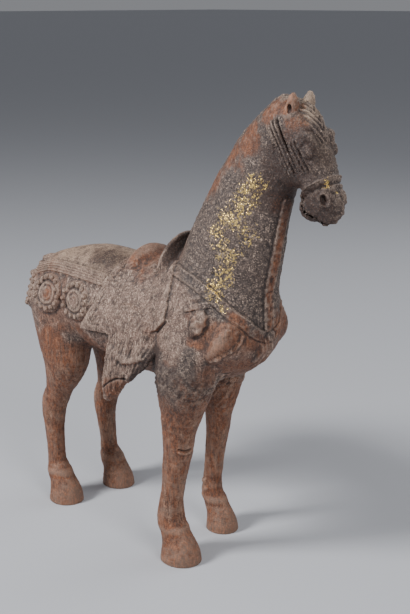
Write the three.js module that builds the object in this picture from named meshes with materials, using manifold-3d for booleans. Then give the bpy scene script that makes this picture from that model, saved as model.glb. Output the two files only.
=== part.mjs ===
// A standing, saddled tomb horse of cast iron, cast in one piece with its saddle, cloth and harness.
// It looks along +X, its left side is +Y, and its four flat soles rest on z = 0.
// The tables give places and half sizes in percent of the height of the withers.
import * as THREE from 'three';
import Module from 'manifold-3d';
import { mergeVertices } from 'three/addons/utils/BufferGeometryUtils.js';
import { edgeTable, triTable } from 'three/addons/objects/MarchingCubes.js';

// Driving dimensions in millimetres.
const withersHeight = 400;
const percent = withersHeight / 100;
const surfaceCell = 0.8 * percent;
const facetGoal = 9600;

// Pose of the head: degrees from hanging straight down, and of its turn to the left.
const headPitch = 32;
const headTurn = 0;

// Relief: how far each kind of dress stands off the skin, in percent.
const clothThickness = 0.9;
const clothEdgeThickness = 2.1;
const strapThickness = 0.45;
const medallionRadius = 6.6;
const medallionThickness = 0.9;

// Small numbers and curves.
const lerp = (a, b, t) => a + (b - a) * t;
const clamp = (v, low, high) => Math.min(high, Math.max(low, v));
const scaled = (row) => row.map((v) => v * percent);
const dot = (a, b) => a[0] * b[0] + a[1] * b[1] + a[2] * b[2];
const along = (a, b, t) => a.map((v, i) => lerp(v, b[i], t));

// 0 below `from`, 1 above `to`, with a smooth step between.
function rampUp(from, to, v) {
  const t = clamp((v - from) / (to - from), 0, 1);
  return t * t * (3 - 2 * t);
}

// A round hump of height 1 at v = 0 that is gone at v = 1.
const hump = (v) => (Math.abs(v) < 1 ? (1 - v * v) ** 2 : 0);

// Joins two distances with a fillet about as wide as `size`.
function blend(a, b, size) {
  const h = Math.max(size - Math.abs(a - b), 0) / size;
  return Math.min(a, b) - h * h * size / 4;
}

// Takes b out of a, with the rim of the cut rounded.
const carve = (a, b, size) => -blend(-a, b, size);

// A point of the smooth curve through the rows, t from row i to row i + 1.
function curvePoint(rows, i, t) {
  const before = rows[Math.max(i - 1, 0)];
  const after = rows[Math.min(i + 2, rows.length - 1)];
  return rows[i].map((v, c) => {
    const next = rows[i + 1][c];
    const bend = 2 * before[c] - 5 * v + 4 * next - after[c];
    const twist = 3 * v - before[c] - 3 * next + after[c];
    return 0.5 * (2 * v + (next - before[c]) * t + bend * t * t + twist * t * t * t);
  });
}

function curve(rows, steps) {
  const points = [];
  for (let i = 0; i < rows.length - 1; i++) {
    for (let j = 0; j < steps; j++) points.push(curvePoint(rows, i, j / steps));
  }
  points.push(rows.at(-1));
  return points;
}

// The box round some points, grown by `margin`, as a test of how far off a point is.
function boxAround(points, margin) {
  const low = [0, 1, 2].map((c) => Math.min(...points.map((p) => p[c])) - margin);
  const high = [0, 1, 2].map((c) => Math.max(...points.map((p) => p[c])) + margin);
  return (x, y, z) => Math.hypot(
    Math.max(low[0] - x, 0, x - high[0]),
    Math.max(low[1] - y, 0, y - high[1]),
    Math.max(low[2] - z, 0, z - high[2]),
  );
}

// A limb of oval section along a curve. Rows: x, y, z, half width across, half depth.
function sweep(table, steps = 4) {
  const fine = curve(table.map(scaled), steps);
  const links = fine.slice(1).map((b, i) => {
    const a = fine[i];
    const run = new THREE.Vector3(b[0] - a[0], b[1] - a[1], b[2] - a[2]);
    const length = run.length();
    const way = run.clone().divideScalar(length);
    const across = new THREE.Vector3(0, 1, 0).addScaledVector(way, -way.y).normalize();
    const out = way.clone().cross(across);
    return { a, run, squared: length * length, way, across, out, wide: [a[3], b[3]], deep: [a[4], b[4]] };
  });
  const widest = Math.max(...fine.map((p) => Math.max(p[3], p[4])));
  const distanceToBox = boxAround(fine, widest);
  const reach = 9 * percent;
  return (x, y, z) => {
    const away = distanceToBox(x, y, z);
    if (away > reach) return away;
    let nearest = Infinity;
    for (const { a, run, squared, way, across, out, wide, deep } of links) {
      const px = x - a[0];
      const py = y - a[1];
      const pz = z - a[2];
      const t = clamp((px * run.x + py * run.y + pz * run.z) / squared, 0, 1);
      const vx = px - t * run.x;
      const vy = py - t * run.y;
      const vz = pz - t * run.z;
      const halfWide = wide[0] + t * (wide[1] - wide[0]);
      const halfDeep = deep[0] + t * (deep[1] - deep[0]);
      const s = (vx * across.x + vy * across.y + vz * across.z) / halfWide;
      const n = (vx * out.x + vy * out.y + vz * out.z) / halfDeep;
      const l = (vx * way.x + vy * way.y + vz * way.z) / Math.min(halfWide, halfDeep);
      const r = Math.sqrt(s * s + n * n + l * l);
      const off = Math.sqrt(vx * vx + vy * vy + vz * vz);
      const gap = r > 1e-6 ? off * (1 - 1 / r) : -Math.min(halfWide, halfDeep);
      if (gap < nearest) nearest = gap;
    }
    return nearest;
  };
}

// An oval lump. Row: x, y, z and the half sizes along x, y and z; lean turns its top to +X, in degrees.
function lump(row, lean = 0) {
  const [cx, cy, cz, rx, ry, rz] = scaled(row);
  const c = Math.cos(THREE.MathUtils.degToRad(lean));
  const s = Math.sin(THREE.MathUtils.degToRad(lean));
  return (x, y, z) => {
    const ux = x - cx;
    const uy = y - cy;
    const uz = z - cz;
    const r = Math.hypot((c * ux - s * uz) / rx, uy / ry, (s * ux + c * uz) / rz);
    return r > 1e-6 ? Math.hypot(ux, uy, uz) * (1 - 1 / r) : -Math.min(rx, ry, rz);
  };
}

const bothSides = (make) => [-1, 1].map(make);

// Barrel, from the tail to the breast.
const trunk = sweep([
  [-75.5, 0, 71.8, 4, 5],
  [-72.5, 0, 72.8, 8.6, 9],
  [-67.5, 0, 74.1, 12.4, 12.5],
  [-60, 0, 75.2, 16.2, 15],
  [-47, 0, 75.7, 17.6, 17.3],
  [-36, 0, 75.2, 17.6, 17.8],
  [-28, 0, 74, 17.3, 17.4],
  [-15, 0, 73.4, 17, 17.6],
  [-2, 0, 75.1, 16.3, 17],
  [8, 0, 77.3, 14.5, 15.5],
  [15, 0, 79.3, 11.5, 12],
  [21, 0, 80.8, 6.5, 6.5],
]);
const breast = bothSides((side) => lump([14.4, 6 * side, 76.8, 8.3, 7.8, 8.1]));
const haunch = bothSides((side) => lump([-57.6, 7.8 * side, 75.3, 11.6, 8.6, 13]));
const neck = sweep([
  [7, 0, 78.8, 14, 18],
  [8.5, 0, 86.8, 13, 17.6],
  [12.5, 0, 96.8, 11.4, 16.8],
  [16.2, 0, 106.3, 10, 15.6],
  [19.2, 0, 113.8, 8.8, 14.3],
  [22.6, 0, 120.8, 7.9, 12.9],
  [25.9, 0, 127.3, 7.3, 11.5],
  [29.2, 0, 133.2, 6.8, 9.7],
  [32.4, 0, 138.4, 6.2, 7.2],
]);
const tail = sweep([
  [-73, 0, 83.6, 2.4, 2.4],
  [-78, 0, 83, 2.4, 2.2],
  [-81.2, 0, 79.6, 2.6, 2.2],
  [-81.8, 0, 74.6, 2.9, 2.4],
  [-80.8, 0, 69.2, 2.4, 2],
  [-79.4, 0, 65.4, 1.2, 1.2],
]);

// Legs. Rows: height, how far ahead of the hoof, half width, half depth.
const forelegRows = [
  [70.8, 4, 7, 10],
  [63.8, 3, 7.6, 9.8],
  [56.8, 1.8, 7.1, 8.2],
  [50.8, 0.8, 5.9, 6.7],
  [43.8, -0.4, 4.8, 5.3],
  [37.3, -1, 4.2, 4.7],
  [30.8, -2.2, 3.7, 4.1],
  [26.8, -2.9, 3.4, 3.8],
  [22.8, -3.5, 3.2, 3.7],
  [19.3, -4.1, 3.2, 3.7],
  [15.8, -4.4, 3.6, 4],
  [12.3, -4.4, 3.9, 4.3],
  [9.3, -3.1, 3.7, 4],
];
const hindlegRows = [
  [72.8, -2.8, 8, 10.8],
  [64.8, -0.8, 8.1, 10.9],
  [58.8, 0.8, 7.7, 10.4],
  [53.8, 1.2, 6.9, 9.3],
  [48.8, 0, 5.8, 7.5],
  [44.3, -1.6, 4.8, 5.7],
  [40.3, -2.8, 4.2, 4.9],
  [35.8, -5, 4.1, 5],
  [31.8, -5.6, 3.8, 4.6],
  [27.8, -5.6, 3.4, 4],
  [22.8, -5.4, 3.1, 3.6],
  [17.8, -5.1, 3, 3.4],
  [13.3, -4.8, 3.2, 3.7],
  [9.8, -4.1, 3.6, 4.2],
];
const hoofRows = [
  [10.3, -3.2, 3.6, 3.8],
  [8.2, -2.4, 4.1, 4.4],
  [5.5, -1.2, 4.6, 5.1],
  [2.8, -0.3, 5.3, 5.9],
  [0, 0.1, 5.8, 6.4],
  [-6, 0.1, 5.8, 6.4],
];
// Where each hoof stands, where its leg meets the body, how high its joints sit, how stout it is,
// and how far its middle joint is set back.
const stance = [
  { rows: forelegRows, foot: [2.4, -12], top: [2, -11.7], joints: 1.02, girth: 1.08, setBack: 0 },
  { rows: forelegRows, foot: [-3.6, 12.7], top: [-4.2, 11.2], joints: 0.95, girth: 0.88, setBack: 0.9 },
  { rows: hindlegRows, foot: [-58.5, -10.9], top: [-57, -10.7], joints: 1, girth: 1, setBack: 0 },
  { rows: hindlegRows, foot: [-55.9, 11.1], top: [-57.4, 10.5], joints: 0.9, girth: 0.97, setBack: 0.9 },
];
const cannonHeight = 30;
const bellyHeight = 70;
const jointHeight = 36;
const jointSpread = 14;
function leg({ rows, foot, top, joints, girth, setBack }) {
  const place = ([height, ahead, wide, deep], stretch) => {
    const rise = clamp((height - cannonHeight) / (bellyHeight - cannonHeight), 0, 1);
    const lean = rampUp(0, 1, rise);
    const bend = Math.exp(-(((height - jointHeight) / jointSpread) ** 2)) * setBack;
    const x = lerp(foot[0], top[0], lean) + ahead - bend;
    const y = lerp(foot[1], top[1], lean);
    return [x, y, height * lerp(stretch, 1, rise), wide * girth, deep * girth];
  };
  const shank = sweep(rows.map((row) => place(row, joints)));
  const hoof = sweep(hoofRows.map((row) => place(row, 1)));
  return { shank, hoof };
}
const legs = stance.map(leg);

// The head has its own axes: down the face, to its left, and out of the face.
const poll = scaled([35.5, 0, 140.3]);
const pitch = THREE.MathUtils.degToRad(headPitch);
const turn = THREE.MathUtils.degToRad(headTurn);
const downFace = [Math.sin(pitch) * Math.cos(turn), Math.sin(pitch) * Math.sin(turn), -Math.cos(pitch)];
const outOfFace = [Math.cos(pitch) * Math.cos(turn), Math.cos(pitch) * Math.sin(turn), Math.sin(pitch)];
const toLeft = [-Math.sin(turn), Math.cos(turn), 0];
const skull = sweep([
  [-3, 0, 0.8, 4.2, 4],
  [2, 0, 1.4, 5.8, 5.8],
  [7, 0, 1.2, 6.6, 6.4],
  [12, 0, 0.9, 6.4, 5.8],
  [17, 0, 0.7, 5.7, 5],
  [21, 0, 0, 5.3, 5],
  [24, 0, -0.4, 5.1, 4.9],
  [26, 0, -0.9, 4.4, 4.3],
  [27.1, 0, -1.5, 3, 3],
]);
const jaw = lump([11, 0, -3.5, 6.5, 5.4, 6]);
const underlip = lump([23.2, 0, -5.2, 4.2, 4.4, 2.9], 12);
const eyeballs = bothSides((side) => lump([11, 4.6 * side, 4.8, 2.2, 1.4, 1.7]));
const brows = bothSides((side) => sweep([
  [10.2, 3.4 * side, 6.3, 0.5, 0.5],
  [8.6, 4.1 * side, 6.7, 0.8, 0.8],
  [7.2, 4.6 * side, 6.5, 1.1, 1.1],
  [6, 4.9 * side, 5.4, 0.6, 0.6],
], 3));
const nostrils = bothSides((side) => lump([24.4, 4.2 * side, 2.6, 1.3, 0.8, 0.8]));
const ears = bothSides((side) => sweep([
  [0.1, 2.9 * side, 2.1, 2, 1.9],
  [-2.1, 3.2 * side, 4.2, 2, 1.8],
  [-3.6, 3.4 * side, 5.5, 1.6, 1.5],
  [-4.8, 3.5 * side, 6.5, 0.9, 0.8],
]));
const earHollows = bothSides((side) => lump([-1.7, 4.6 * side, 4.2, 0.8, 0.9, 1.7], -50));
const forelock = sweep([
  [-1, 0, 6, 2.2, 1.6],
  [2, 0, 6.9, 2.6, 1.5],
  [6, 0, 7.2, 2, 1.1],
  [9.5, 0, 7, 0.8, 0.6],
]);
const mouthLine = sweep([
  [20.2, 0, -4.4, 9, 0.2],
  [22.6, 0, -5.2, 9, 0.2],
  [25, 0, -5, 9, 0.2],
  [27.2, 0, -3.6, 9, 0.2],
  [30, 0, -1.6, 9, 0.2],
]);
const mouthDepth = 0.9;
const mouthWidth = 0.9;
const nosebandPlace = 19.4;
const nosebandWidth = 1;
const nosebandThickness = 0.45;

function head(x, y, z) {
  const from = [x - poll[0], y - poll[1], z - poll[2]];
  const a = dot(from, downFace);
  const l = dot(from, toLeft);
  const f = dot(from, outOfFace);
  let d = blend(skull(a, l, f), jaw(a, l, f), 3 * percent);
  d = blend(d, underlip(a, l, f), 1.5 * percent);
  for (const brow of brows) d = blend(d, brow(a, l, f), 1.6 * percent);
  for (const eye of eyeballs) d = blend(d, eye(a, l, f), 1 * percent);
  for (const nostril of nostrils) d = carve(d, nostril(a, l, f), 0.5 * percent);
  d += mouthDepth * percent * hump(Math.max(mouthLine(a, l, f), 0) / (mouthWidth * percent));
  const inFront = rampUp(-7, -5.5, f / percent);
  d -= nosebandThickness * percent * hump((a / percent - nosebandPlace) / nosebandWidth) * inFront;
  d += 0.45 * percent * hump((a / percent - nosebandPlace - 1.4) / 0.7) * inFront;
  d = blend(d, forelock(a, l, f), 0.6 * percent);
  ears.forEach((ear, i) => {
    d = blend(d, carve(ear(a, l, f), earHollows[i](a, l, f), 0.3 * percent), 1 * percent);
  });
  return d;
}

// The bare horse, as a distance that is negative inside.
function horse(x, y, z) {
  let d = blend(trunk(x, y, z), neck(x, y, z), 9 * percent);
  for (const side of breast) d = blend(d, side(x, y, z), 5 * percent);
  for (const side of haunch) d = blend(d, side(x, y, z), 6 * percent);
  for (const { shank, hoof } of legs) {
    d = blend(d, blend(shank(x, y, z), hoof(x, y, z), 1.2 * percent), 3.5 * percent);
  }
  d = blend(d, head(x, y, z), 4 * percent);
  return blend(d, tail(x, y, z), 2 * percent);
}

// The way out of the skin at a point.
function outward([x, y, z]) {
  const e = 0.25 * percent;
  const slope = [
    horse(x + e, y, z) - horse(x - e, y, z),
    horse(x, y + e, z) - horse(x, y - e, z),
    horse(x, y, z + e) - horse(x, y, z - e),
  ];
  const size = Math.hypot(...slope);
  return slope.map((v) => v / size);
}

// The point of the skin nearest to a given point.
function ontoSkin(point) {
  let p = point;
  for (let i = 0; i < 8; i++) {
    const d = horse(...p);
    const n = outward(p);
    p = p.map((v, c) => v - n[c] * d * 0.8);
  }
  return p;
}

// A strap that lies on the skin along a path; gives how far it lifts the skin at a point.
function strap(path, halfWidth, thickness = strapThickness) {
  const line = curve(path.map(scaled), 5).map(ontoSkin);
  const distanceToBox = boxAround(line, halfWidth * percent * 1.3);
  return (x, y, z) => {
    if (distanceToBox(x, y, z) > 0) return 0;
    let nearest = Infinity;
    for (let i = 0; i < line.length - 1; i++) {
      const [a, b] = [line[i], line[i + 1]];
      const run = [b[0] - a[0], b[1] - a[1], b[2] - a[2]];
      const off = [x - a[0], y - a[1], z - a[2]];
      const t = clamp(dot(off, run) / dot(run, run), 0, 1);
      nearest = Math.min(nearest, Math.hypot(off[0] - t * run[0], off[1] - t * run[1], off[2] - t * run[2]));
    }
    return thickness * percent * (1 - rampUp(0.8, 1.2, nearest / (halfWidth * percent)));
  };
}

// A round medallion with a raised rim and a dome, lying on the skin.
function medallion(place) {
  const centre = ontoSkin(scaled(place));
  const n = outward(centre);
  const radius = medallionRadius * percent;
  const distanceToBox = boxAround([centre], radius * 1.2);
  return (x, y, z) => {
    if (distanceToBox(x, y, z) > 0) return 0;
    const off = [x - centre[0], y - centre[1], z - centre[2]];
    const lift = dot(off, n);
    const r = Math.sqrt(Math.max(dot(off, off) - lift * lift, 0)) / radius;
    const plate = 1 - rampUp(0.94, 1.06, r);
    const rim = hump((r - 0.8) / 0.2);
    const dome = hump(r / 0.52);
    return medallionThickness * percent * (0.6 * plate + 0.5 * rim + 0.4 * dome);
  };
}

// Saddle-cloth: its outline seen from the side, as x, z.
const clothOutline = [
  [-29.5, 92.8], [-30.3, 85.3], [-32, 78.8], [-34.6, 73.8], [-37.8, 69.8], [-30, 70.2], [-23, 70.8],
  [-14, 71.8], [-7.5, 74.3], [-1.8, 76.4], [1.2, 79.8], [1.3, 83.8], [0.4, 88.8], [-0.8, 93.8], [-1.5, 96.8],
].map(scaled);
// Signed distance to the outline, negative inside it.
function outsideCloth(x, z) {
  let squared = Infinity;
  let side = 1;
  clothOutline.forEach(([bx, bz], i) => {
    const [ax, az] = clothOutline.at(i - 1);
    const ex = bx - ax;
    const ez = bz - az;
    const wx = x - ax;
    const wz = z - az;
    const t = clamp((wx * ex + wz * ez) / (ex * ex + ez * ez), 0, 1);
    squared = Math.min(squared, (wx - ex * t) ** 2 + (wz - ez * t) ** 2);
    if ((az > z) !== (bz > z) && x < ax + ex * (z - az) / ez) side = -side;
  });
  return side * Math.sqrt(squared);
}
const clothHem = 3.2;
const clothBorder = 0.12;
function cloth(x, y, z) {
  if (z < 66.8 * percent || z > 97.8 * percent || x < -40 * percent || x > 3 * percent) return 0;
  const inside = -outsideCloth(x, z) / percent;
  const low = 1 - rampUp(71.8, 80.8, z / percent + 0.12 * (x / percent + 30));
  const thick = lerp(clothThickness, clothEdgeThickness, low);
  const border = clothBorder * hump((inside - clothHem / 2) / (clothHem / 2));
  return percent * (thick * rampUp(-0.3, 0.3, inside) + border * (x < -20 * percent ? 1 : 0.4));
}

// Harness over the breast, round the haunch, up the throat and on the cheek.
const mirrored = (path) => [path, path.map(([x, y, z]) => [x, -y, z])];
const breastStrap = mirrored([
  [-1, -11.5, 95], [8, -13, 93.2], [13, -13, 91.4], [17, -12.2, 89.2], [20.4, -11.4, 86.8],
  [23.2, -10, 84.4], [25.6, -7.6, 82.2], [27, -5.6, 79.8], [27.8, -3, 78.2], [28, 0, 77.8],
]).map((path) => strap(path, 1.8));
const sideStrap = mirrored([
  [9, -15.5, 85], [13.3, -14.2, 86.4], [17, -12.8, 87.2],
]).map((path) => strap(path, 1, 0.28));
const haunchStrap = mirrored([
  [-29, -13.4, 86], [-36, -13.4, 86.2], [-42, -13.4, 86.4], [-49.5, -13.6, 86.7], [-57, -14, 86.6],
  [-65, -13.4, 84.2], [-71, -8, 81.8], [-75, -3, 80.3],
]).map((path) => strap(path, 2.2));
const throatStrap = strap([
  [35, -1, 117.8], [32.4, -1, 106.8], [30, -1, 97.8], [28.6, -1, 88.8], [28.4, -1, 80.8],
], 1.8, 0.6);
const cheekStrap = mirrored([
  [34.6, -6.6, 139.4], [36.8, -6.6, 134.2], [39.2, -6.4, 129.2], [41, -5.6, 125.4],
]).map((path) => strap(path, 1.7));
const maneRidge = strap([
  [-3, 0, 105.1], [4.5, 0, 114.8], [9.8, 0, 122.6], [15.8, 0, 130.8], [21, 0, 137.4], [26.5, 0, 142.4],
  [32, 0, 145.4],
], 1.9, 0.55);
const medallions = mirrored([[-41.4, -17.5, 78], [-55.3, -18.4, 78.3], [-67.2, -14, 76.6]])
  .flatMap((places) => places.map(medallion));
const reliefs = [
  ...breastStrap, ...sideStrap, ...haunchStrap, throatStrap, ...cheekStrap, maneRidge, ...medallions, cloth,
];

// Saddle: a seat between an upright front arch and a full, rounded rear arch, each with a rim.
const seat = lump([-15, 0, 85.6, 12, 11.8, 9.4]);
const pommel = lump([-6.2, 0, 91.4, 3, 11.2, 11.6], -4);
const cantle = lump([-22, 0, 86.4, 5.8, 11.8, 10.9], -6);
function rim(x, z, halfSpan, height, lean, thick) {
  const rows = [];
  for (let angle = -80; angle <= 80; angle += 20) {
    const turned = THREE.MathUtils.degToRad(angle);
    const up = Math.cos(turned) * height;
    rows.push([x + lean * up, Math.sin(turned) * halfSpan, z + up, thick, thick]);
  }
  return sweep(rows, 2);
}
const pommelRim = rim(-7.6, 91.8, 11, 11.3, 0.1, 0.9);
const cantleRim = rim(-23.4, 86.8, 11.2, 9.6, -0.08, 0.7);

// Gathered end of the cloth that hangs below each flank, with its folds.
const drapes = bothSides((side) => sweep([
  [-11, 16.6 * side, 78.6, 2.1, 8.6],
  [-12.4, 17.8 * side, 73.3, 2.6, 10.1],
  [-14.2, 18.4 * side, 68.6, 2.7, 9.3],
  [-17, 18.7 * side, 63.4, 2.7, 7.4],
  [-20, 19 * side, 58.2, 2.5, 5],
  [-22, 19.2 * side, 53.6, 2.1, 3.6],
  [-23.8, 19.2 * side, 50.4, 1.4, 2],
]));
const curls = bothSides((side) => sweep([
  [-20.5, 20.4 * side, 67.4, 0.6, 1],
  [-17, 20.8 * side, 66, 0.9, 1.2],
  [-12, 20.9 * side, 65.2, 1, 1.2],
  [-6.6, 19.8 * side, 67.2, 0.8, 1],
]));
const foldWidth = 2.3;
const foldDepth = 0.18;
function folds(x, y, z) {
  const fan = Math.atan2(x / percent + 21, z / percent - 40.8) * 34;
  const shown = rampUp(50.8, 56.8, z / percent) * (1 - rampUp(74.8, 86.8, z / percent));
  const inPlace = rampUp(-29, -26, x / percent) * (1 - rampUp(-4, 0, x / percent));
  return foldDepth * percent * Math.sin(fan * Math.PI / foldWidth) * shown * inPlace;
}

// Leaf-shaped pendants under the harness, and the tassel at the middle of the breast.
const leaves = bothSides((side) => sweep([
  [14.6, 14.5 * side, 84.6, 1.2, 1.9],
  [14.4, 15.5 * side, 82.3, 1.6, 2.7],
  [13.7, 16.1 * side, 80, 1.5, 2.1],
  [13, 16.6 * side, 78, 0.8, 0.8],
]));
const aprons = bothSides((side) => sweep([
  [22.4, 9.4 * side, 80.8, 2.8, 2.2],
  [21.5, 10.5 * side, 77.8, 4.1, 2.8],
  [19.8, 11.6 * side, 74.5, 4.3, 2.7],
  [17.7, 12.8 * side, 72, 3, 2],
]));
const tassel = sweep([
  [27.8, -0.4, 76.8, 1.8, 1.4],
  [27.2, -0.8, 73.8, 2.6, 1.9],
  [25, -1, 70.8, 2.6, 2],
  [22.6, -1, 68.6, 1.6, 1.4],
]);

// The dressed horse.
function dressed(x, y, z) {
  let d = horse(x, y, z);
  const reach = 7 * percent;
  if (d > reach * 2) return d - reach;
  for (const relief of reliefs) d -= relief(x, y, z);
  for (const part of [seat, pommel, cantle]) d = blend(d, part(x, y, z), 1.6 * percent);
  for (const part of [pommelRim, cantleRim]) d = blend(d, part(x, y, z), 0.6 * percent);
  const crease = folds(x, y, z);
  for (const part of drapes) d = blend(d, part(x, y, z) - crease, 1.6 * percent);
  for (const part of curls) d = blend(d, part(x, y, z) - crease * 0.5, 1 * percent);
  for (const part of leaves) d = blend(d, part(x, y, z), 0.5 * percent);
  for (const part of aprons) d = blend(d, part(x, y, z), 2 * percent);
  return blend(d, tassel(x, y, z), 0.6 * percent);
}

// Turns the zero level of a distance into a closed mesh of triangles on a grid of cells.
function polygonise(field, low, high, cell) {
  const [nx, ny, nz] = [0, 1, 2].map((c) => Math.ceil((high[c] - low[c]) / cell) + 1);
  const at = (i, j, k) => i + nx * (j + ny * k);
  const value = new Float32Array(nx * ny * nz).fill(1);
  const known = new Uint8Array(nx * ny * nz);
  const block = 4;
  const point = (i, j, k) => [low[0] + i * cell, low[1] + j * cell, low[2] + k * cell];
  for (let K = 0; K < nz - 1; K += block) {
    for (let J = 0; J < ny - 1; J += block) {
      for (let I = 0; I < nx - 1; I += block) {
        const middle = field(...point(I + block / 2, J + block / 2, K + block / 2));
        const close = Math.abs(middle) < block * cell * 1.7;
        for (let k = K; k <= Math.min(K + block, nz - 1); k++) {
          for (let j = J; j <= Math.min(J + block, ny - 1); j++) {
            for (let i = I; i <= Math.min(I + block, nx - 1); i++) {
              const m = at(i, j, k);
              if (close && known[m] !== 2) {
                value[m] = field(...point(i, j, k));
                known[m] = 2;
              } else if (!known[m]) {
                value[m] = Math.sign(middle);
                known[m] = 1;
              }
            }
          }
        }
      }
    }
  }
  const corners = [[0, 0, 0], [1, 0, 0], [1, 1, 0], [0, 1, 0], [0, 0, 1], [1, 0, 1], [1, 1, 1], [0, 1, 1]];
  const edges = [
    [0, 1], [1, 2], [2, 3], [3, 0], [4, 5], [5, 6], [6, 7], [7, 4], [0, 4], [1, 5], [2, 6], [3, 7],
  ];
  const offsets = corners.map(([i, j, k]) => at(i, j, k));
  const made = new Map();
  const verts = [];
  const faces = [];
  for (let k = 0; k < nz - 1; k++) {
    for (let j = 0; j < ny - 1; j++) {
      for (let i = 0; i < nx - 1; i++) {
        const base = at(i, j, k);
        let kind = 0;
        for (let c = 0; c < 8; c++) if (value[base + offsets[c]] < 0) kind |= 1 << c;
        if (!edgeTable[kind]) continue;
        const ids = edges.map(([a, b], e) => {
          if (!(edgeTable[kind] & (1 << e))) return -1;
          const from = base + Math.min(offsets[a], offsets[b]);
          const to = base + Math.max(offsets[a], offsets[b]);
          const axis = to - from === 1 ? 0 : to - from === nx ? 1 : 2;
          const key = from * 3 + axis;
          if (!made.has(key)) {
            const t = clamp(value[from] / (value[from] - value[to]), 0.05, 0.95);
            const [ca, cb] = offsets[a] < offsets[b] ? [corners[a], corners[b]] : [corners[b], corners[a]];
            const spot = along(ca, cb, t);
            made.set(key, verts.length / 3);
            verts.push(...point(i + spot[0], j + spot[1], k + spot[2]));
          }
          return made.get(key);
        });
        for (let q = kind * 16; triTable[q] !== -1; q += 3) {
          faces.push(ids[triTable[q]], ids[triTable[q + 2]], ids[triTable[q + 1]]);
        }
      }
    }
  }
  return { verts, faces };
}

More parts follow.
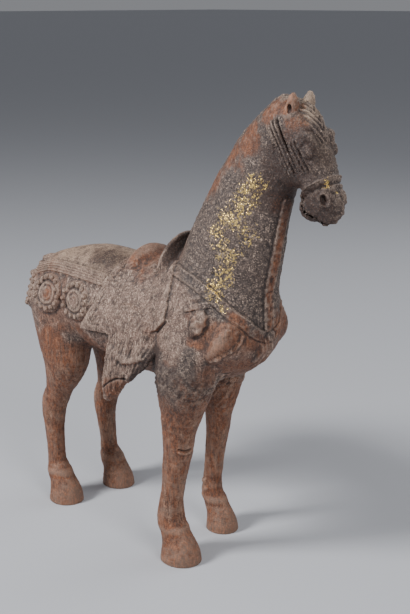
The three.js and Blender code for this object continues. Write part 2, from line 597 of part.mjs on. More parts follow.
// Collapses the edges that matter least to the form until `goal` triangles are left.
function thin({ verts, faces }, goal) {
  const count = verts.length / 3;
  const position = Array.from({ length: count }, (_, v) => verts.slice(v * 3, v * 3 + 3));
  const around = Array.from({ length: count }, () => new Set());
  const error = Array.from({ length: count }, () => new Float64Array(10));
  const corners = [];
  const minus = (a, b) => [a[0] - b[0], a[1] - b[1], a[2] - b[2]];
  const cross = (a, b) => [a[1] * b[2] - a[2] * b[1], a[2] * b[0] - a[0] * b[2], a[0] * b[1] - a[1] * b[0]];
  const faceNormal = (a, b, c) => cross(minus(b, a), minus(c, a));
  const addPlane = (q, n, d, weight) => {
    const row = [...n, d];
    let m = 0;
    for (let i = 0; i < 4; i++) for (let j = i; j < 4; j++) q[m++] += row[i] * row[j] * weight;
  };
  for (let i = 0; i < faces.length; i += 3) {
    const face = [faces[i], faces[i + 1], faces[i + 2]];
    const [a, b, c] = face.map((v) => position[v]);
    const n = faceNormal(a, b, c);
    const area = Math.hypot(...n);
    corners.push(face);
    for (const v of face) {
      around[v].add(corners.length - 1);
      if (area > 0) addPlane(error[v], n.map((s) => s / area), -dot(n, a) / area, area);
    }
  }
  const evenness = 0.002;
  position.forEach((p, v) => {
    const weight = evenness * percent * percent;
    addPlane(error[v], [1, 0, 0], -p[0], weight);
    addPlane(error[v], [0, 1, 0], -p[1], weight);
    addPlane(error[v], [0, 0, 1], -p[2], weight);
  });
  const costAt = (q, [x, y, z]) => q[0] * x * x + 2 * q[1] * x * y + 2 * q[2] * x * z + 2 * q[3] * x
    + q[4] * y * y + 2 * q[5] * y * z + 2 * q[6] * y + q[7] * z * z + 2 * q[8] * z + q[9];
  const best = (a, b) => {
    const q = error[a].map((v, i) => v + error[b][i]);
    const det = q[0] * (q[4] * q[7] - q[5] * q[5]) - q[1] * (q[1] * q[7] - q[5] * q[2])
      + q[2] * (q[1] * q[5] - q[4] * q[2]);
    const middle = along(position[a], position[b], 0.5);
    let spot = middle;
    if (Math.abs(det) > 1e-9) {
      const [u, v, w] = [-q[3], -q[6], -q[8]];
      spot = [
        u * (q[4] * q[7] - q[5] * q[5]) - q[1] * (v * q[7] - q[5] * w) + q[2] * (v * q[5] - q[4] * w),
        q[0] * (v * q[7] - w * q[5]) - u * (q[1] * q[7] - q[5] * q[2]) + q[2] * (q[1] * w - v * q[2]),
        q[0] * (q[4] * w - v * q[5]) - q[1] * (q[1] * w - v * q[2]) + u * (q[1] * q[5] - q[4] * q[2]),
      ].map((top) => top / det);
      const span = Math.hypot(...minus(position[a], position[b]));
      if (!(Math.hypot(...minus(spot, middle)) < span)) spot = middle;
    }
    return { spot, cost: costAt(q, spot) };
  };
  const heap = [];
  const swap = (i, j) => { [heap[i], heap[j]] = [heap[j], heap[i]]; };
  const push = (item) => {
    let i = heap.push(item) - 1;
    while (i > 0 && heap[i].cost < heap[(i - 1) >> 1].cost) {
      swap(i, (i - 1) >> 1);
      i = (i - 1) >> 1;
    }
  };
  const pop = () => {
    const top = heap[0];
    const last = heap.pop();
    if (heap.length) {
      heap[0] = last;
      for (let i = 0; ;) {
        const left = 2 * i + 1;
        if (left >= heap.length) break;
        const child = left + 1 < heap.length && heap[left + 1].cost < heap[left].cost ? left + 1 : left;
        if (heap[i].cost <= heap[child].cost) break;
        swap(i, child);
        i = child;
      }
    }
    return top;
  };
  const version = new Int32Array(count);
  const neighbours = (v) => {
    const found = new Set();
    for (const f of around[v]) for (const w of corners[f]) if (w !== v) found.add(w);
    return found;
  };
  const offer = (a, b) => {
    const { spot, cost } = best(a, b);
    push({ a, b, spot, cost, stamp: version[a] + version[b] });
  };
  for (let v = 0; v < count; v++) for (const w of neighbours(v)) if (v < w) offer(v, w);
  const keepsItsSide = (v, other, spot) => {
    for (const f of around[v]) {
      const face = corners[f];
      if (face.includes(other)) continue;
      const before = faceNormal(...face.map((w) => position[w]));
      const after = faceNormal(...face.map((w) => (w === v ? spot : position[w])));
      if (dot(before, after) < 0.35 * Math.hypot(...before) * Math.hypot(...after)) return false;
      if (Math.hypot(...after) < 1e-3) return false;
    }
    return true;
  };
  let left = corners.length;
  while (left > goal && heap.length) {
    const { a, b, spot, stamp } = pop();
    if (!around[a].size || !around[b].size || stamp !== version[a] + version[b]) continue;
    const near = neighbours(b);
    const shared = [...neighbours(a)].filter((v) => near.has(v));
    if (!near.has(a) || shared.length !== 2) continue;
    if (!keepsItsSide(a, b, spot) || !keepsItsSide(b, a, spot)) continue;
    for (const f of [...around[b]]) {
      if (corners[f].includes(a)) {
        for (const v of corners[f]) around[v].delete(f);
        left--;
      } else {
        corners[f] = corners[f].map((v) => (v === b ? a : v));
        around[a].add(f);
      }
    }
    around[b].clear();
    position[a] = spot;
    error[a].forEach((v, i) => { error[a][i] = v + error[b][i]; });
    version[a] += count;
    version[b] += count;
    for (const v of neighbours(a)) offer(a, v);
  }
  const number = new Map();
  const kept = { verts: [], faces: [] };
  corners.forEach((face, f) => {
    if (!around[face[0]].has(f)) return;
    for (const v of face) {
      if (!number.has(v)) {
        number.set(v, kept.verts.length / 3);
        kept.verts.push(...position[v]);
      }
      kept.faces.push(number.get(v));
    }
  });
  return kept;
}

// The form goes on a little below the ground, where the soles are cut flat.
const footing = 3;
const low = scaled([-88, -26, -footing - 1]);
const high = scaled([60, 26, 152]);
const standingForm = (x, y, z) => Math.max(dressed(x, y, z), -footing * percent - z);
const skin = thin(polygonise(standingForm, low, high, surfaceCell), facetGoal);

// The soles are cut flat at the ground.
const wasm = await Module();
wasm.setup();
function solidOf(vertProperties, triVerts) {
  return new wasm.Manifold(new wasm.Mesh({ numProp: 3, vertProperties, triVerts }));
}
const ground = new THREE.BoxGeometry(2 * withersHeight, withersHeight, withersHeight / 2);
ground.translate(0, 0, -withersHeight / 4);
ground.deleteAttribute('normal');
ground.deleteAttribute('uv');
const slab = mergeVertices(ground);
const standing = solidOf(new Float32Array(skin.verts), new Uint32Array(skin.faces))
  .subtract(solidOf(slab.attributes.position.array, new Uint32Array(slab.index.array)))
  .getMesh();

const shape = new THREE.BufferGeometry();
shape.setAttribute('position', new THREE.BufferAttribute(new Float32Array(standing.vertProperties), 3));
shape.setIndex(new THREE.BufferAttribute(new Uint32Array(standing.triVerts), 1));
shape.computeVertexNormals();
shape.computeBoundingBox();

const castIron = new THREE.MeshStandardMaterial({ color: 0x6b4a3a, roughness: 0.82, metalness: 0.35 });
const tombHorse = new THREE.Mesh(shape, castIron);
tombHorse.name = 'horse';

// The origin is under the middle of the horse's box.
const middle = shape.boundingBox.getCenter(new THREE.Vector3());
tombHorse.position.set(-middle.x, -middle.y, 0);

const model = new THREE.Group();
model.add(tombHorse);
export default model;
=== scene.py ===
import math

import bpy
import numpy as np
from mathutils import Matrix, Vector


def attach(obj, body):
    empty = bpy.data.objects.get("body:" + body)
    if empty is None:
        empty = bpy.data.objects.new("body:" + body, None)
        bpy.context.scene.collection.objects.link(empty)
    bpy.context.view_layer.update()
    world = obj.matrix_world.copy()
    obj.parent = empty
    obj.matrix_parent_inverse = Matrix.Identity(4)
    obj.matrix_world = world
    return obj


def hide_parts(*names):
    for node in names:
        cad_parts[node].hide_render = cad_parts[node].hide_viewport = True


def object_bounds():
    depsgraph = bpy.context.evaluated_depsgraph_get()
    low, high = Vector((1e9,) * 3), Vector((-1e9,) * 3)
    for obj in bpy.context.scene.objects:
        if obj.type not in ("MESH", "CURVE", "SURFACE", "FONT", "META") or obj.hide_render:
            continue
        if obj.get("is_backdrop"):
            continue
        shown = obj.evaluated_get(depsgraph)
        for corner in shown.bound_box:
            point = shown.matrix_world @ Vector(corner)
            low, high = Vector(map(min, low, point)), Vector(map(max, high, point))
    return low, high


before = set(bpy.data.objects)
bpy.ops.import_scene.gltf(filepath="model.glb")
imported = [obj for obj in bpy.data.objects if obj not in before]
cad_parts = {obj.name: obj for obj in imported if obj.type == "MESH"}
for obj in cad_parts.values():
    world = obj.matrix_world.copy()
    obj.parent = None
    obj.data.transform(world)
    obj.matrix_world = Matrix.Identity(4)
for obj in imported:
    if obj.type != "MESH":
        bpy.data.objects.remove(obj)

# A tomb horse of cast iron, poured in one piece with its saddle, cloth and harness, rusted and crusted.
# The bare horse comes first: barrel, neck, tail and legs, each an oval limb swept along its own line.
# Places and half sizes are in percent of the height of the withers, and the horse looks along +X.
WITHERS = 0.400
PERCENT = WITHERS / 100
cad_low, cad_high = (np.array(corner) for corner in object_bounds())


def step_up(low, high, value):
    """0 below low, 1 above high, and a smooth step between."""
    share = np.clip((value - low) / (high - low), 0, 1)
    return share * share * (3 - 2 * share)


def hump(value):
    """A round hump of height 1 at 0 that is gone at 1."""
    return np.clip(1 - value * value, 0, None) ** 2


def bands(value, rows):
    """Round bands across a value. Rows: middle, half width, and height, below 0 for a groove."""
    return sum(height * hump((value - middle) / width) for middle, width, height in rows)


def blend(one, other, size):
    """Joins two distances with a fillet of about that size."""
    share = np.clip(size - np.abs(one - other), 0, None) / size
    return np.minimum(one, other) - share * share * size / 4


def joined(form, parts, points, size):
    """The form with parts blended in, one after another."""
    for part in parts:
        form = blend(form, part(points), size)
    return form


def carve(solid, tool, size):
    """Takes the tool out of the solid and rounds the rim of the cut."""
    return -blend(-solid, tool, size)


def smooth_rows(rows, steps):
    """The smooth curve through the rows, with so many steps from row to row."""
    rows = np.array(rows, float)
    padded = np.vstack([rows[:1], rows, rows[-1:]])
    fine = []
    for before, here, after, beyond in zip(padded, padded[1:], padded[2:], padded[3:]):
        for share in np.arange(steps) / steps:
            bend = 2 * before - 5 * here + 4 * after - beyond
            twist = 3 * here - before - 3 * after + beyond
            fine.append(0.5 * (2 * here + (after - before) * share + bend * share**2 + twist * share**3))
    return np.array(fine + [rows[-1]])


def oval_ratio(*shares):
    """How far out of an oval a place lies, from its offsets in half sizes: 1 on the skin."""
    return np.sqrt(sum(share**2 for share in shares))


def off_box(points, low, high):
    """How far points lie outside a box."""
    gap = np.maximum(np.maximum(low - points, points - high), 0)
    return np.sqrt((gap * gap).sum(axis=1))


def limb(rows, steps=4, reach=9):
    """A limb of oval section. Rows: x, y, z, half width across, half depth."""
    fine = smooth_rows(rows, steps)
    size = fine[:, 3:].max()
    low, high = fine[:, :3].min(axis=0) - size, fine[:, :3].max(axis=0) + size
    run = np.diff(fine[:, :3], axis=0)
    length = np.linalg.norm(run, axis=1)
    way = run / length[:, None]
    across = np.array([0.0, 1.0, 0.0]) - way * way[:, 1:2]
    across /= np.linalg.norm(across, axis=1)[:, None]
    out = np.cross(way, across)

    def distance(points):
        away = off_box(points, low, high)
        close = away <= reach
        spots = points[close]
        nearest = np.full(len(spots), np.inf)
        for i in range(len(run)):
            off = spots - fine[i, :3]
            share = np.clip(off @ run[i] / length[i] ** 2, 0, 1)
            off -= share[:, None] * run[i]
            wide = fine[i, 3] + share * (fine[i + 1, 3] - fine[i, 3])
            deep = fine[i, 4] + share * (fine[i + 1, 4] - fine[i, 4])
            least = np.minimum(wide, deep)
            ratio = oval_ratio(off @ across[i] / wide, off @ out[i] / deep, off @ way[i] / least)
            gap = np.sqrt((off * off).sum(axis=1)) * (1 - 1 / np.maximum(ratio, 1e-6))
            np.minimum(nearest, np.where(ratio > 1e-6, gap, -least), out=nearest)
        away[close] = nearest
        return away

    return distance


def lump(place, half_sizes, lean=0):
    """An oval lump whose top leans to +X by some degrees."""
    place = np.array(place, float)
    c, s = math.cos(math.radians(lean)), math.sin(math.radians(lean))

    def distance(points):
        off = points - place
        x, z = c * off[:, 0] - s * off[:, 2], s * off[:, 0] + c * off[:, 2]
        ratio = oval_ratio(x / half_sizes[0], off[:, 1] / half_sizes[1], z / half_sizes[2])
        return np.sqrt((off * off).sum(axis=1)) * (1 - 1 / np.maximum(ratio, 1e-3))

    return distance


trunk = limb([
    (-75.5, 0, 71.8, 4, 5), (-72.5, 0, 72.8, 8.6, 9), (-67.5, 0, 74.1, 12.4, 12.5),
    (-60, 0, 75.2, 16.2, 15), (-47, 0, 75.7, 17.6, 17.3), (-36, 0, 75.2, 17.6, 17.8),
    (-28, 0, 74, 17.3, 17.4), (-15, 0, 73.4, 17, 17.6), (-2, 0, 75.1, 16.3, 17), (8, 0, 77.3, 14.5, 15.5),
    (15, 0, 79.3, 11.5, 12), (21, 0, 80.8, 6.5, 6.5),
])
breast = [lump((14.4, 6 * side, 76.8), (8.3, 7.8, 8.1)) for side in (-1, 1)]
haunches = [lump((-57.6, 7.8 * side, 75.3), (11.6, 8.6, 13)) for side in (-1, 1)]
neck = limb([
    (7, 0, 78.8, 14, 18), (8.5, 0, 86.8, 13, 17.6), (12.5, 0, 96.8, 11.4, 16.8), (16.2, 0, 106.3, 10, 15.6),
    (19.2, 0, 113.8, 8.8, 14.3), (22.6, 0, 120.8, 7.9, 12.9), (25.9, 0, 127.3, 7.3, 11.5),
    (29.2, 0, 133.2, 6.8, 9.7), (32.4, 0, 138.4, 6.2, 7.2),
])
tail = limb([
    (-73, 0, 83.6, 2.4, 2.4), (-78, 0, 83, 2.4, 2.2), (-81.2, 0, 79.6, 2.6, 2.2), (-81.8, 0, 74.6, 2.9, 2.4),
    (-80.8, 0, 69.2, 2.4, 2), (-79.4, 0, 65.4, 1.2, 1.2),
])

# Rows of a leg: height, how far ahead of the hoof, half width, half depth.
FORELEG = [
    (70.8, 4, 7, 10), (63.8, 3, 7.6, 9.8), (56.8, 1.8, 7.1, 8.2), (50.8, 0.8, 5.9, 6.7),
    (43.8, -0.4, 4.8, 5.3), (37.3, -1, 4.2, 4.7), (30.8, -2.2, 3.7, 4.1), (26.8, -2.9, 3.4, 3.8),
    (22.8, -3.5, 3.2, 3.7), (19.3, -4.1, 3.2, 3.7), (15.8, -4.4, 3.6, 4), (12.3, -4.4, 3.9, 4.3),
    (9.3, -3.1, 3.7, 4),
]
HINDLEG = [
    (72.8, -2.8, 8, 10.8), (64.8, -0.8, 8.1, 10.9), (58.8, 0.8, 7.7, 10.4), (53.8, 1.2, 6.9, 9.3),
    (48.8, 0, 5.8, 7.5), (44.3, -1.6, 4.8, 5.7), (40.3, -2.8, 4.2, 4.9), (35.8, -5, 4.1, 5),
    (31.8, -5.6, 3.8, 4.6), (27.8, -5.6, 3.4, 4), (22.8, -5.4, 3.1, 3.6), (17.8, -5.1, 3, 3.4),
    (13.3, -4.8, 3.2, 3.7), (9.8, -4.1, 3.6, 4.2),
]
HOOF = [
    (10.3, -3.2, 3.6, 3.8), (8.2, -2.4, 4.1, 4.4), (5.5, -1.2, 4.6, 5.1), (2.8, -0.3, 5.3, 5.9),
    (0, 0.1, 5.8, 6.4), (-6, 0.1, 5.8, 6.4),
]
CANNON_HEIGHT = 30
BELLY_HEIGHT = 70
JOINT_HEIGHT = 36
JOINT_SPREAD = 14


def leg_rows(rows, foot, top, joints, girth, set_back):
    """A leg from the hoof at foot to the body at top. set_back moves its middle joint to the rear."""
    made = []
    for height, ahead, wide, deep in rows:
        rise = min(max((height - CANNON_HEIGHT) / (BELLY_HEIGHT - CANNON_HEIGHT), 0), 1)
        lean = rise * rise * (3 - 2 * rise)
        bend = math.exp(-(((height - JOINT_HEIGHT) / JOINT_SPREAD) ** 2)) * set_back
        x = foot[0] + (top[0] - foot[0]) * lean + ahead - bend
        y = foot[1] + (top[1] - foot[1]) * lean
        made.append((x, y, height * (joints + (1 - joints) * rise), wide * girth, deep * girth))
    return made


# Right and left foreleg, right and left hindleg: rows, hoof, top, height of joints, girth, set back.
STANCE = [
    (FORELEG, (2.4, -12), (2, -11.7), 1.02, 1.08, 0),
    (FORELEG, (-3.6, 12.7), (-4.2, 11.2), 0.95, 0.88, 0.9),
    (HINDLEG, (-58.5, -10.9), (-57, -10.7), 1, 1, 0),
    (HINDLEG, (-55.9, 11.1), (-57.4, 10.5), 0.9, 0.97, 0.9),
]
shanks, hooves = [], []
for rows, foot, top, joints, girth, set_back in STANCE:
    shanks.append(limb(leg_rows(rows, foot, top, joints, girth, set_back)))
    hooves.append(limb(leg_rows(HOOF, foot, top, 1, girth, set_back)))

# The head hangs from the poll at a steep pitch, with short cupped ears, bulging brows and eyes, a
# rounded muzzle with nostrils and a mouth line, and the cord of a bridle round the nose.
# It has its own axes: down the face, to its left, and out of the face.
POLL = np.array([35.5, 0, 140.3])
PITCH = math.radians(32)
DOWN_FACE = np.array([math.sin(PITCH), 0, -math.cos(PITCH)])
TO_LEFT = np.array([0.0, 1.0, 0.0])
OUT_OF_FACE = np.array([math.cos(PITCH), 0, math.sin(PITCH)])
HEAD_REACH = 42
HEAD_MARGIN = 6
NOSEBAND_PLACE = 19.4
# The noseband and the groove below it, as bands along the way down the face from its place.
NOSEBAND = [(0, 1, 0.45), (1.4, 0.7, -0.45)]
MOUTH_DEPTH = 0.9
MOUTH_WIDTH = 0.9
skull = limb([
    (-3, 0, 0.8, 4.2, 4), (2, 0, 1.4, 5.8, 5.8), (7, 0, 1.2, 6.6, 6.4), (12, 0, 0.9, 6.4, 5.8),
    (17, 0, 0.7, 5.7, 5), (21, 0, 0, 5.3, 5), (24, 0, -0.4, 5.1, 4.9), (26, 0, -0.9, 4.4, 4.3),
    (27.1, 0, -1.5, 3, 3),
])
jaw = lump((11, 0, -3.5), (6.5, 5.4, 6))
underlip = lump((23.2, 0, -5.2), (4.2, 4.4, 2.9), 12)
mouth_line = limb([
    (20.2, 0, -4.4, 9, 0.2), (22.6, 0, -5.2, 9, 0.2), (25, 0, -5, 9, 0.2), (27.2, 0, -3.6, 9, 0.2),
    (30, 0, -1.6, 9, 0.2),
])
forelock = limb([(-1, 0, 6, 2.2, 1.6), (2, 0, 6.9, 2.6, 1.5), (6, 0, 7.2, 2, 1.1), (9.5, 0, 7, 0.8, 0.6)])


def both_sides(rows):
    """Rows on the right side, and their mirror image on the left."""
    rows = np.array(rows, float)
    mirror = np.ones(rows.shape[1])
    mirror[1] = -1
    return [rows, rows * mirror]


eyeballs = [lump((11, 4.6 * side, 4.8), (2.2, 1.4, 1.7)) for side in (-1, 1)]
nostrils = [lump((24.4, 4.2 * side, 2.6), (1.3, 0.8, 0.8)) for side in (-1, 1)]
ear_hollows = [lump((-1.7, 4.6 * side, 4.2), (0.8, 0.9, 1.7), -50) for side in (-1, 1)]
brows = [limb(rows, 3) for rows in both_sides([
    (10.2, -3.4, 6.3, 0.5, 0.5), (8.6, -4.1, 6.7, 0.8, 0.8), (7.2, -4.6, 6.5, 1.1, 1.1),
    (6, -4.9, 5.4, 0.6, 0.6),
])]
ears = [limb(rows) for rows in both_sides([
    (0.1, -2.9, 2.1, 2, 1.9), (-2.1, -3.2, 4.2, 2, 1.8), (-3.6, -3.4, 5.5, 1.6, 1.5),
    (-4.8, -3.5, 6.5, 0.9, 0.8),
])]


def head_places(points):
    """Points in the head's own axes."""
    off = points - POLL
    return np.stack([off @ DOWN_FACE, off @ TO_LEFT, off @ OUT_OF_FACE], axis=1)


def head(points):
    """The head, as a distance that is negative inside. Far from it, only about how far off it lies."""
    away = np.linalg.norm(points - POLL, axis=1) - HEAD_REACH + HEAD_MARGIN
    close = away < HEAD_MARGIN
    places = head_places(points[close])
    down, out = places[:, 0], places[:, 2]
    form = blend(skull(places), jaw(places), 3)
    form = blend(form, underlip(places), 1.5)
    form = joined(form, brows, places, 1.6)
    form = joined(form, eyeballs, places, 1)
    for nostril in nostrils:
        form = carve(form, nostril(places), 0.5)
    form += MOUTH_DEPTH * hump(np.maximum(mouth_line(places), 0) / MOUTH_WIDTH)
    in_front = step_up(-7, -5.5, out)
    form -= bands(down - NOSEBAND_PLACE, NOSEBAND) * in_front
    form = blend(form, forelock(places), 0.6)
    for ear, hollow in zip(ears, ear_hollows):
        form = blend(form, carve(ear(places), hollow(places), 0.3), 1)
    away[close] = form
    return away


def horse(points):
    """The bare horse, as a distance that is negative inside."""
    form = blend(trunk(points), neck(points), 9)
    form = joined(form, breast, points, 5)
    form = joined(form, haunches, points, 6)
    for shank, hoof in zip(shanks, hooves):
        form = blend(form, blend(shank(points), hoof(points), 1.2), 3.5)
    form = blend(form, head(points), 4)
    return blend(form, tail(points), 2)


def outward(points, form=horse):
    """The ways out of the skin at points near it."""
    step = 0.25
    slope = np.empty_like(points)
    for axis in range(3):
        move = np.zeros(3)
        move[axis] = step
        slope[:, axis] = form(points + move) - form(points - move)
    return slope / np.maximum(np.linalg.norm(slope, axis=1), 1e-9)[:, None]


def onto_skin(points, form=horse, rounds=6):
    """The points of the skin nearest to some points."""
    points = np.array(points, float)
    for _ in range(rounds):
        points -= outward(points, form) * (form(points) * 0.85)[:, None]
    return points


# The saddle stands on the back, cast in one with the horse: a seat between a high front arch and a
# lower, full rear arch. Both arches have a thin rolled rim, and the front one is a wall that slopes to
# the neck.
seat = lump((-15, 0, 85.6), (12, 11.8, 9.4))
pommel = lump((-6.2, 0, 91.4), (3, 11.2, 11.6), -4)
cantle = lump((-22, 0, 86.4), (5.8, 11.8, 10.9), -6)


def arch_rim(x, z, half_span, height, lean, thick):
    """The rolled rim of an arch over the horse's back, leaning forward by a share of its height."""
    rows = []
    for angle in range(-80, 81, 20):
        up = math.cos(math.radians(angle)) * height
        rows.append((x + lean * up, math.sin(math.radians(angle)) * half_span, z + up, thick, thick))
    return limb(rows, 2)


pommel_rim = arch_rim(-7.6, 91.8, 11, 11.3, 0.1, 0.9)
cantle_rim = arch_rim(-23.4, 86.8, 11.2, 9.6, -0.08, 0.7)


def saddled(form, points):
    """The form with the saddle on its back."""
    form = joined(form, [seat, pommel, cantle], points, 1.6)
    return joined(form, [pommel_rim, cantle_rim], points, 0.6)


# The saddle-cloth is cast in the shape of a thick felt: a plate on the flanks with a raised border and
# a low hem that stands off the belly. Below it hangs a gathered end with folds and a curled upper edge.
CLOTH_OUTLINE = np.array([
    (-29.5, 92.8), (-30.3, 85.3), (-32, 78.8), (-34.6, 73.8), (-37.8, 69.8), (-30, 70.2), (-23, 70.8),
    (-14, 71.8), (-7.5, 74.3), (-1.8, 76.4), (1.2, 79.8), (1.3, 83.8), (0.4, 88.8), (-0.8, 93.8),
    (-1.5, 96.8),
])
CLOTH_THICKNESS = 0.9
CLOTH_EDGE_THICKNESS = 2.1
CLOTH_HEM = 3.2
CLOTH_BORDER = 0.12
FOLD_WIDTH = 2.3
FOLD_DEPTH = 0.18
# The folds fan out from one place, as x and z. Their width is measured at this distance from it.
FAN_FOOT = (-21, 40.8)
FAN_RADIUS = 34


def inside_cloth(x, z):
    """How far inside the cloth's outline a place on the flank is, seen from the side."""
    squared = np.full(len(x), np.inf)
    inside = np.zeros(len(x), bool)
    for (ax, az), (bx, bz) in zip(np.roll(CLOTH_OUTLINE, 1, axis=0), CLOTH_OUTLINE):
        ex, ez = bx - ax, bz - az
        share = np.clip(((x - ax) * ex + (z - az) * ez) / (ex * ex + ez * ez), 0, 1)
        squared = np.minimum(squared, (x - ax - ex * share) ** 2 + (z - az - ez * share) ** 2)
        if az != bz:
            inside ^= ((az > z) != (bz > z)) & (x < ax + ex * (z - az) / (bz - az))
    return np.where(inside, 1, -1) * np.sqrt(squared)


def cloth_lift(points):
    """How far the cloth lifts the skin."""
    x, _, z = points.T
    lift = np.zeros(len(points))
    near = (z > 66.8) & (z < 97.8) & (x > -40) & (x < 3)
    x, z = x[near], z[near]
    inside = inside_cloth(x, z)
    low = 1 - step_up(71.8, 80.8, z + 0.12 * (x + 30))
    thick = CLOTH_THICKNESS + (CLOTH_EDGE_THICKNESS - CLOTH_THICKNESS) * low
    border = CLOTH_BORDER * hump((inside - CLOTH_HEM / 2) / (CLOTH_HEM / 2)) * np.where(x < -20, 1, 0.4)
    lift[near] = thick * step_up(-0.3, 0.3, inside) + border
    return lift


drapes = [limb(rows) for rows in both_sides([
    (-11, -16.6, 78.6, 2.1, 8.6), (-12.4, -17.8, 73.3, 2.6, 10.1), (-14.2, -18.4, 68.6, 2.7, 9.3),
    (-17, -18.7, 63.4, 2.7, 7.4), (-20, -19, 58.2, 2.5, 5), (-22, -19.2, 53.6, 2.1, 3.6),
    (-23.8, -19.2, 50.4, 1.4, 2),
])]
curls = [limb(rows) for rows in both_sides([
    (-20.5, -20.4, 67.4, 0.6, 1), (-17, -20.8, 66, 0.9, 1.2), (-12, -20.9, 65.2, 1, 1.2),
    (-6.6, -19.8, 67.2, 0.8, 1),
])]


def fan_of(x, z):
    """How far round the fan of folds a place on the flank lies."""
    return np.arctan2(x - FAN_FOOT[0], z - FAN_FOOT[1]) * FAN_RADIUS


def folds(points):
    """Folds that fan out from the hem of the cloth."""
    x, _, z = points.T
    shown = step_up(50.8, 56.8, z) * (1 - step_up(74.8, 86.8, z))
    in_place = step_up(-29, -26, x) * (1 - step_up(-4, 0, x))
    return FOLD_DEPTH * np.sin(fan_of(x, z) * math.pi / FOLD_WIDTH) * shown * in_place


def draped(form, points):
    """The form with the hanging ends of the cloth on its flanks."""
    crease = folds(points)
    for part in drapes:
        form = blend(form, part(points) - crease, 1.6)
    for part in curls:
        form = blend(form, part(points) - crease * 0.5, 1)
    return form


# The harness is flat leather strap with hanging ornaments, all cast in relief: a breast strap with
# two leaf pendants, two rounded aprons and a tassel, a throat strap, and a crupper with medallions.
STRAP_THICKNESS = 0.45
MEDALLION_RADIUS = 6.6
MEDALLION_THICKNESS = 0.9
# The raised rim and the dome of a medallion, in shares of its radius and of its thickness.
MEDALLION_FORM = [(0.8, 0.2, 0.5), (0, 0.52, 0.4)]
BREAST_STRAP = [
    (-1, -11.5, 95), (8, -13, 93.2), (13, -13, 91.4), (17, -12.2, 89.2), (20.4, -11.4, 86.8),
    (23.2, -10, 84.4), (25.6, -7.6, 82.2), (27, -5.6, 79.8), (27.8, -3, 78.2), (28, 0, 77.8),
]
SIDE_STRAP = [(9, -15.5, 85), (13.3, -14.2, 86.4), (17, -12.8, 87.2)]
CRUPPER = [
    (-29, -13.4, 86), (-36, -13.4, 86.2), (-42, -13.4, 86.4), (-49.5, -13.6, 86.7), (-57, -14, 86.6),
    (-65, -13.4, 84.2), (-71, -8, 81.8), (-75, -3, 80.3),
]
THROAT_STRAP = [(35, -1, 117.8), (32.4, -1, 106.8), (30, -1, 97.8), (28.6, -1, 88.8), (28.4, -1, 80.8)]
CHEEK_STRAP = [(34.6, -6.6, 139.4), (36.8, -6.6, 134.2), (39.2, -6.4, 129.2), (41, -5.6, 125.4)]
MANE_RIDGE = [
    (-3, 0, 105.1), (4.5, 0, 114.8), (9.8, 0, 122.6), (15.8, 0, 130.8), (21, 0, 137.4), (26.5, 0, 142.4),
    (32, 0, 145.4),
]
MEDALLIONS = [(-41.4, -17.5, 78), (-55.3, -18.4, 78.3), (-67.2, -14, 76.6)]


def gap_to_line(points, line, reach):
    """How far points lie from a line of points, told only within reach of it."""
    nearest = np.full(len(points), np.inf)
    close = off_box(points, line.min(axis=0), line.max(axis=0)) < reach
    spots = points[close]
    gap = np.full(len(spots), np.inf)
    for start, end in zip(line, line[1:]):
        run = end - start
        off = spots - start
        off -= np.clip(off @ run / (run @ run), 0, 1)[:, None] * run
        np.minimum(gap, np.sqrt((off * off).sum(axis=1)), out=gap)
    nearest[close] = gap
    return nearest


class Strap:
    """A flat strap that lies on the skin along a path."""

    def __init__(self, path, half_width, thickness=STRAP_THICKNESS):
        self.line = onto_skin(smooth_rows(path, 5))
        self.half_width = half_width
        self.thickness = thickness

    def lift(self, points):
        """How far the strap lifts the skin."""
        gap = gap_to_line(points, self.line, self.half_width * 1.3)
        return self.thickness * (1 - step_up(0.8, 1.2, gap / self.half_width))


class Medallion:
    """A round plate with a raised rim and a dome, lying on the skin."""

    def __init__(self, place):
        self.centre = onto_skin([place])[0]
        self.way = outward(self.centre[None])[0]

    def places(self, points):
        """How far out from the middle points lie, in radii, and which of them are near."""
        off = points - self.centre
        lift = off @ self.way
        ring = np.sqrt(np.maximum((off * off).sum(axis=1) - lift * lift, 0)) / MEDALLION_RADIUS
        return ring, np.abs(lift) < MEDALLION_RADIUS * 0.8

    def lift(self, points):
        """How far its plate, rim and dome lift the skin."""
        ring, near = self.places(points)
        profile = 0.6 * (1 - step_up(0.94, 1.06, ring)) + bands(ring, MEDALLION_FORM)
        return MEDALLION_THICKNESS * profile * near


breast_straps = [Strap(path, 1.8) for path in both_sides(BREAST_STRAP)]
side_straps = [Strap(path, 1, 0.28) for path in both_sides(SIDE_STRAP)]
cruppers = [Strap(path, 2.2) for path in both_sides(CRUPPER)]
throat_strap = Strap(THROAT_STRAP, 1.8, 0.6)
cheek_straps = [Strap(path, 1.7) for path in both_sides(CHEEK_STRAP)]
mane_ridge = Strap(MANE_RIDGE, 1.9, 0.55)
medallions = [Medallion(place) for place in np.vstack(both_sides(MEDALLIONS))]
harness = [*breast_straps, *side_straps, *cruppers, throat_strap, *cheek_straps, mane_ridge, *medallions]

leaves = [limb(rows) for rows in both_sides([
    (14.6, -14.5, 84.6, 1.2, 1.9), (14.4, -15.5, 82.3, 1.6, 2.7), (13.7, -16.1, 80, 1.5, 2.1),
    (13, -16.6, 78, 0.8, 0.8),
])]
aprons = [limb(rows) for rows in both_sides([
    (22.4, -9.4, 80.8, 2.8, 2.2), (21.5, -10.5, 77.8, 4.1, 2.8), (19.8, -11.6, 74.5, 4.3, 2.7),
    (17.7, -12.8, 72, 3, 2),
])]
tassel = limb([
    (27.8, -0.4, 76.8, 1.8, 1.4), (27.2, -0.8, 73.8, 2.6, 1.9), (25, -1, 70.8, 2.6, 2),
    (22.6, -1, 68.6, 1.6, 1.4),
])


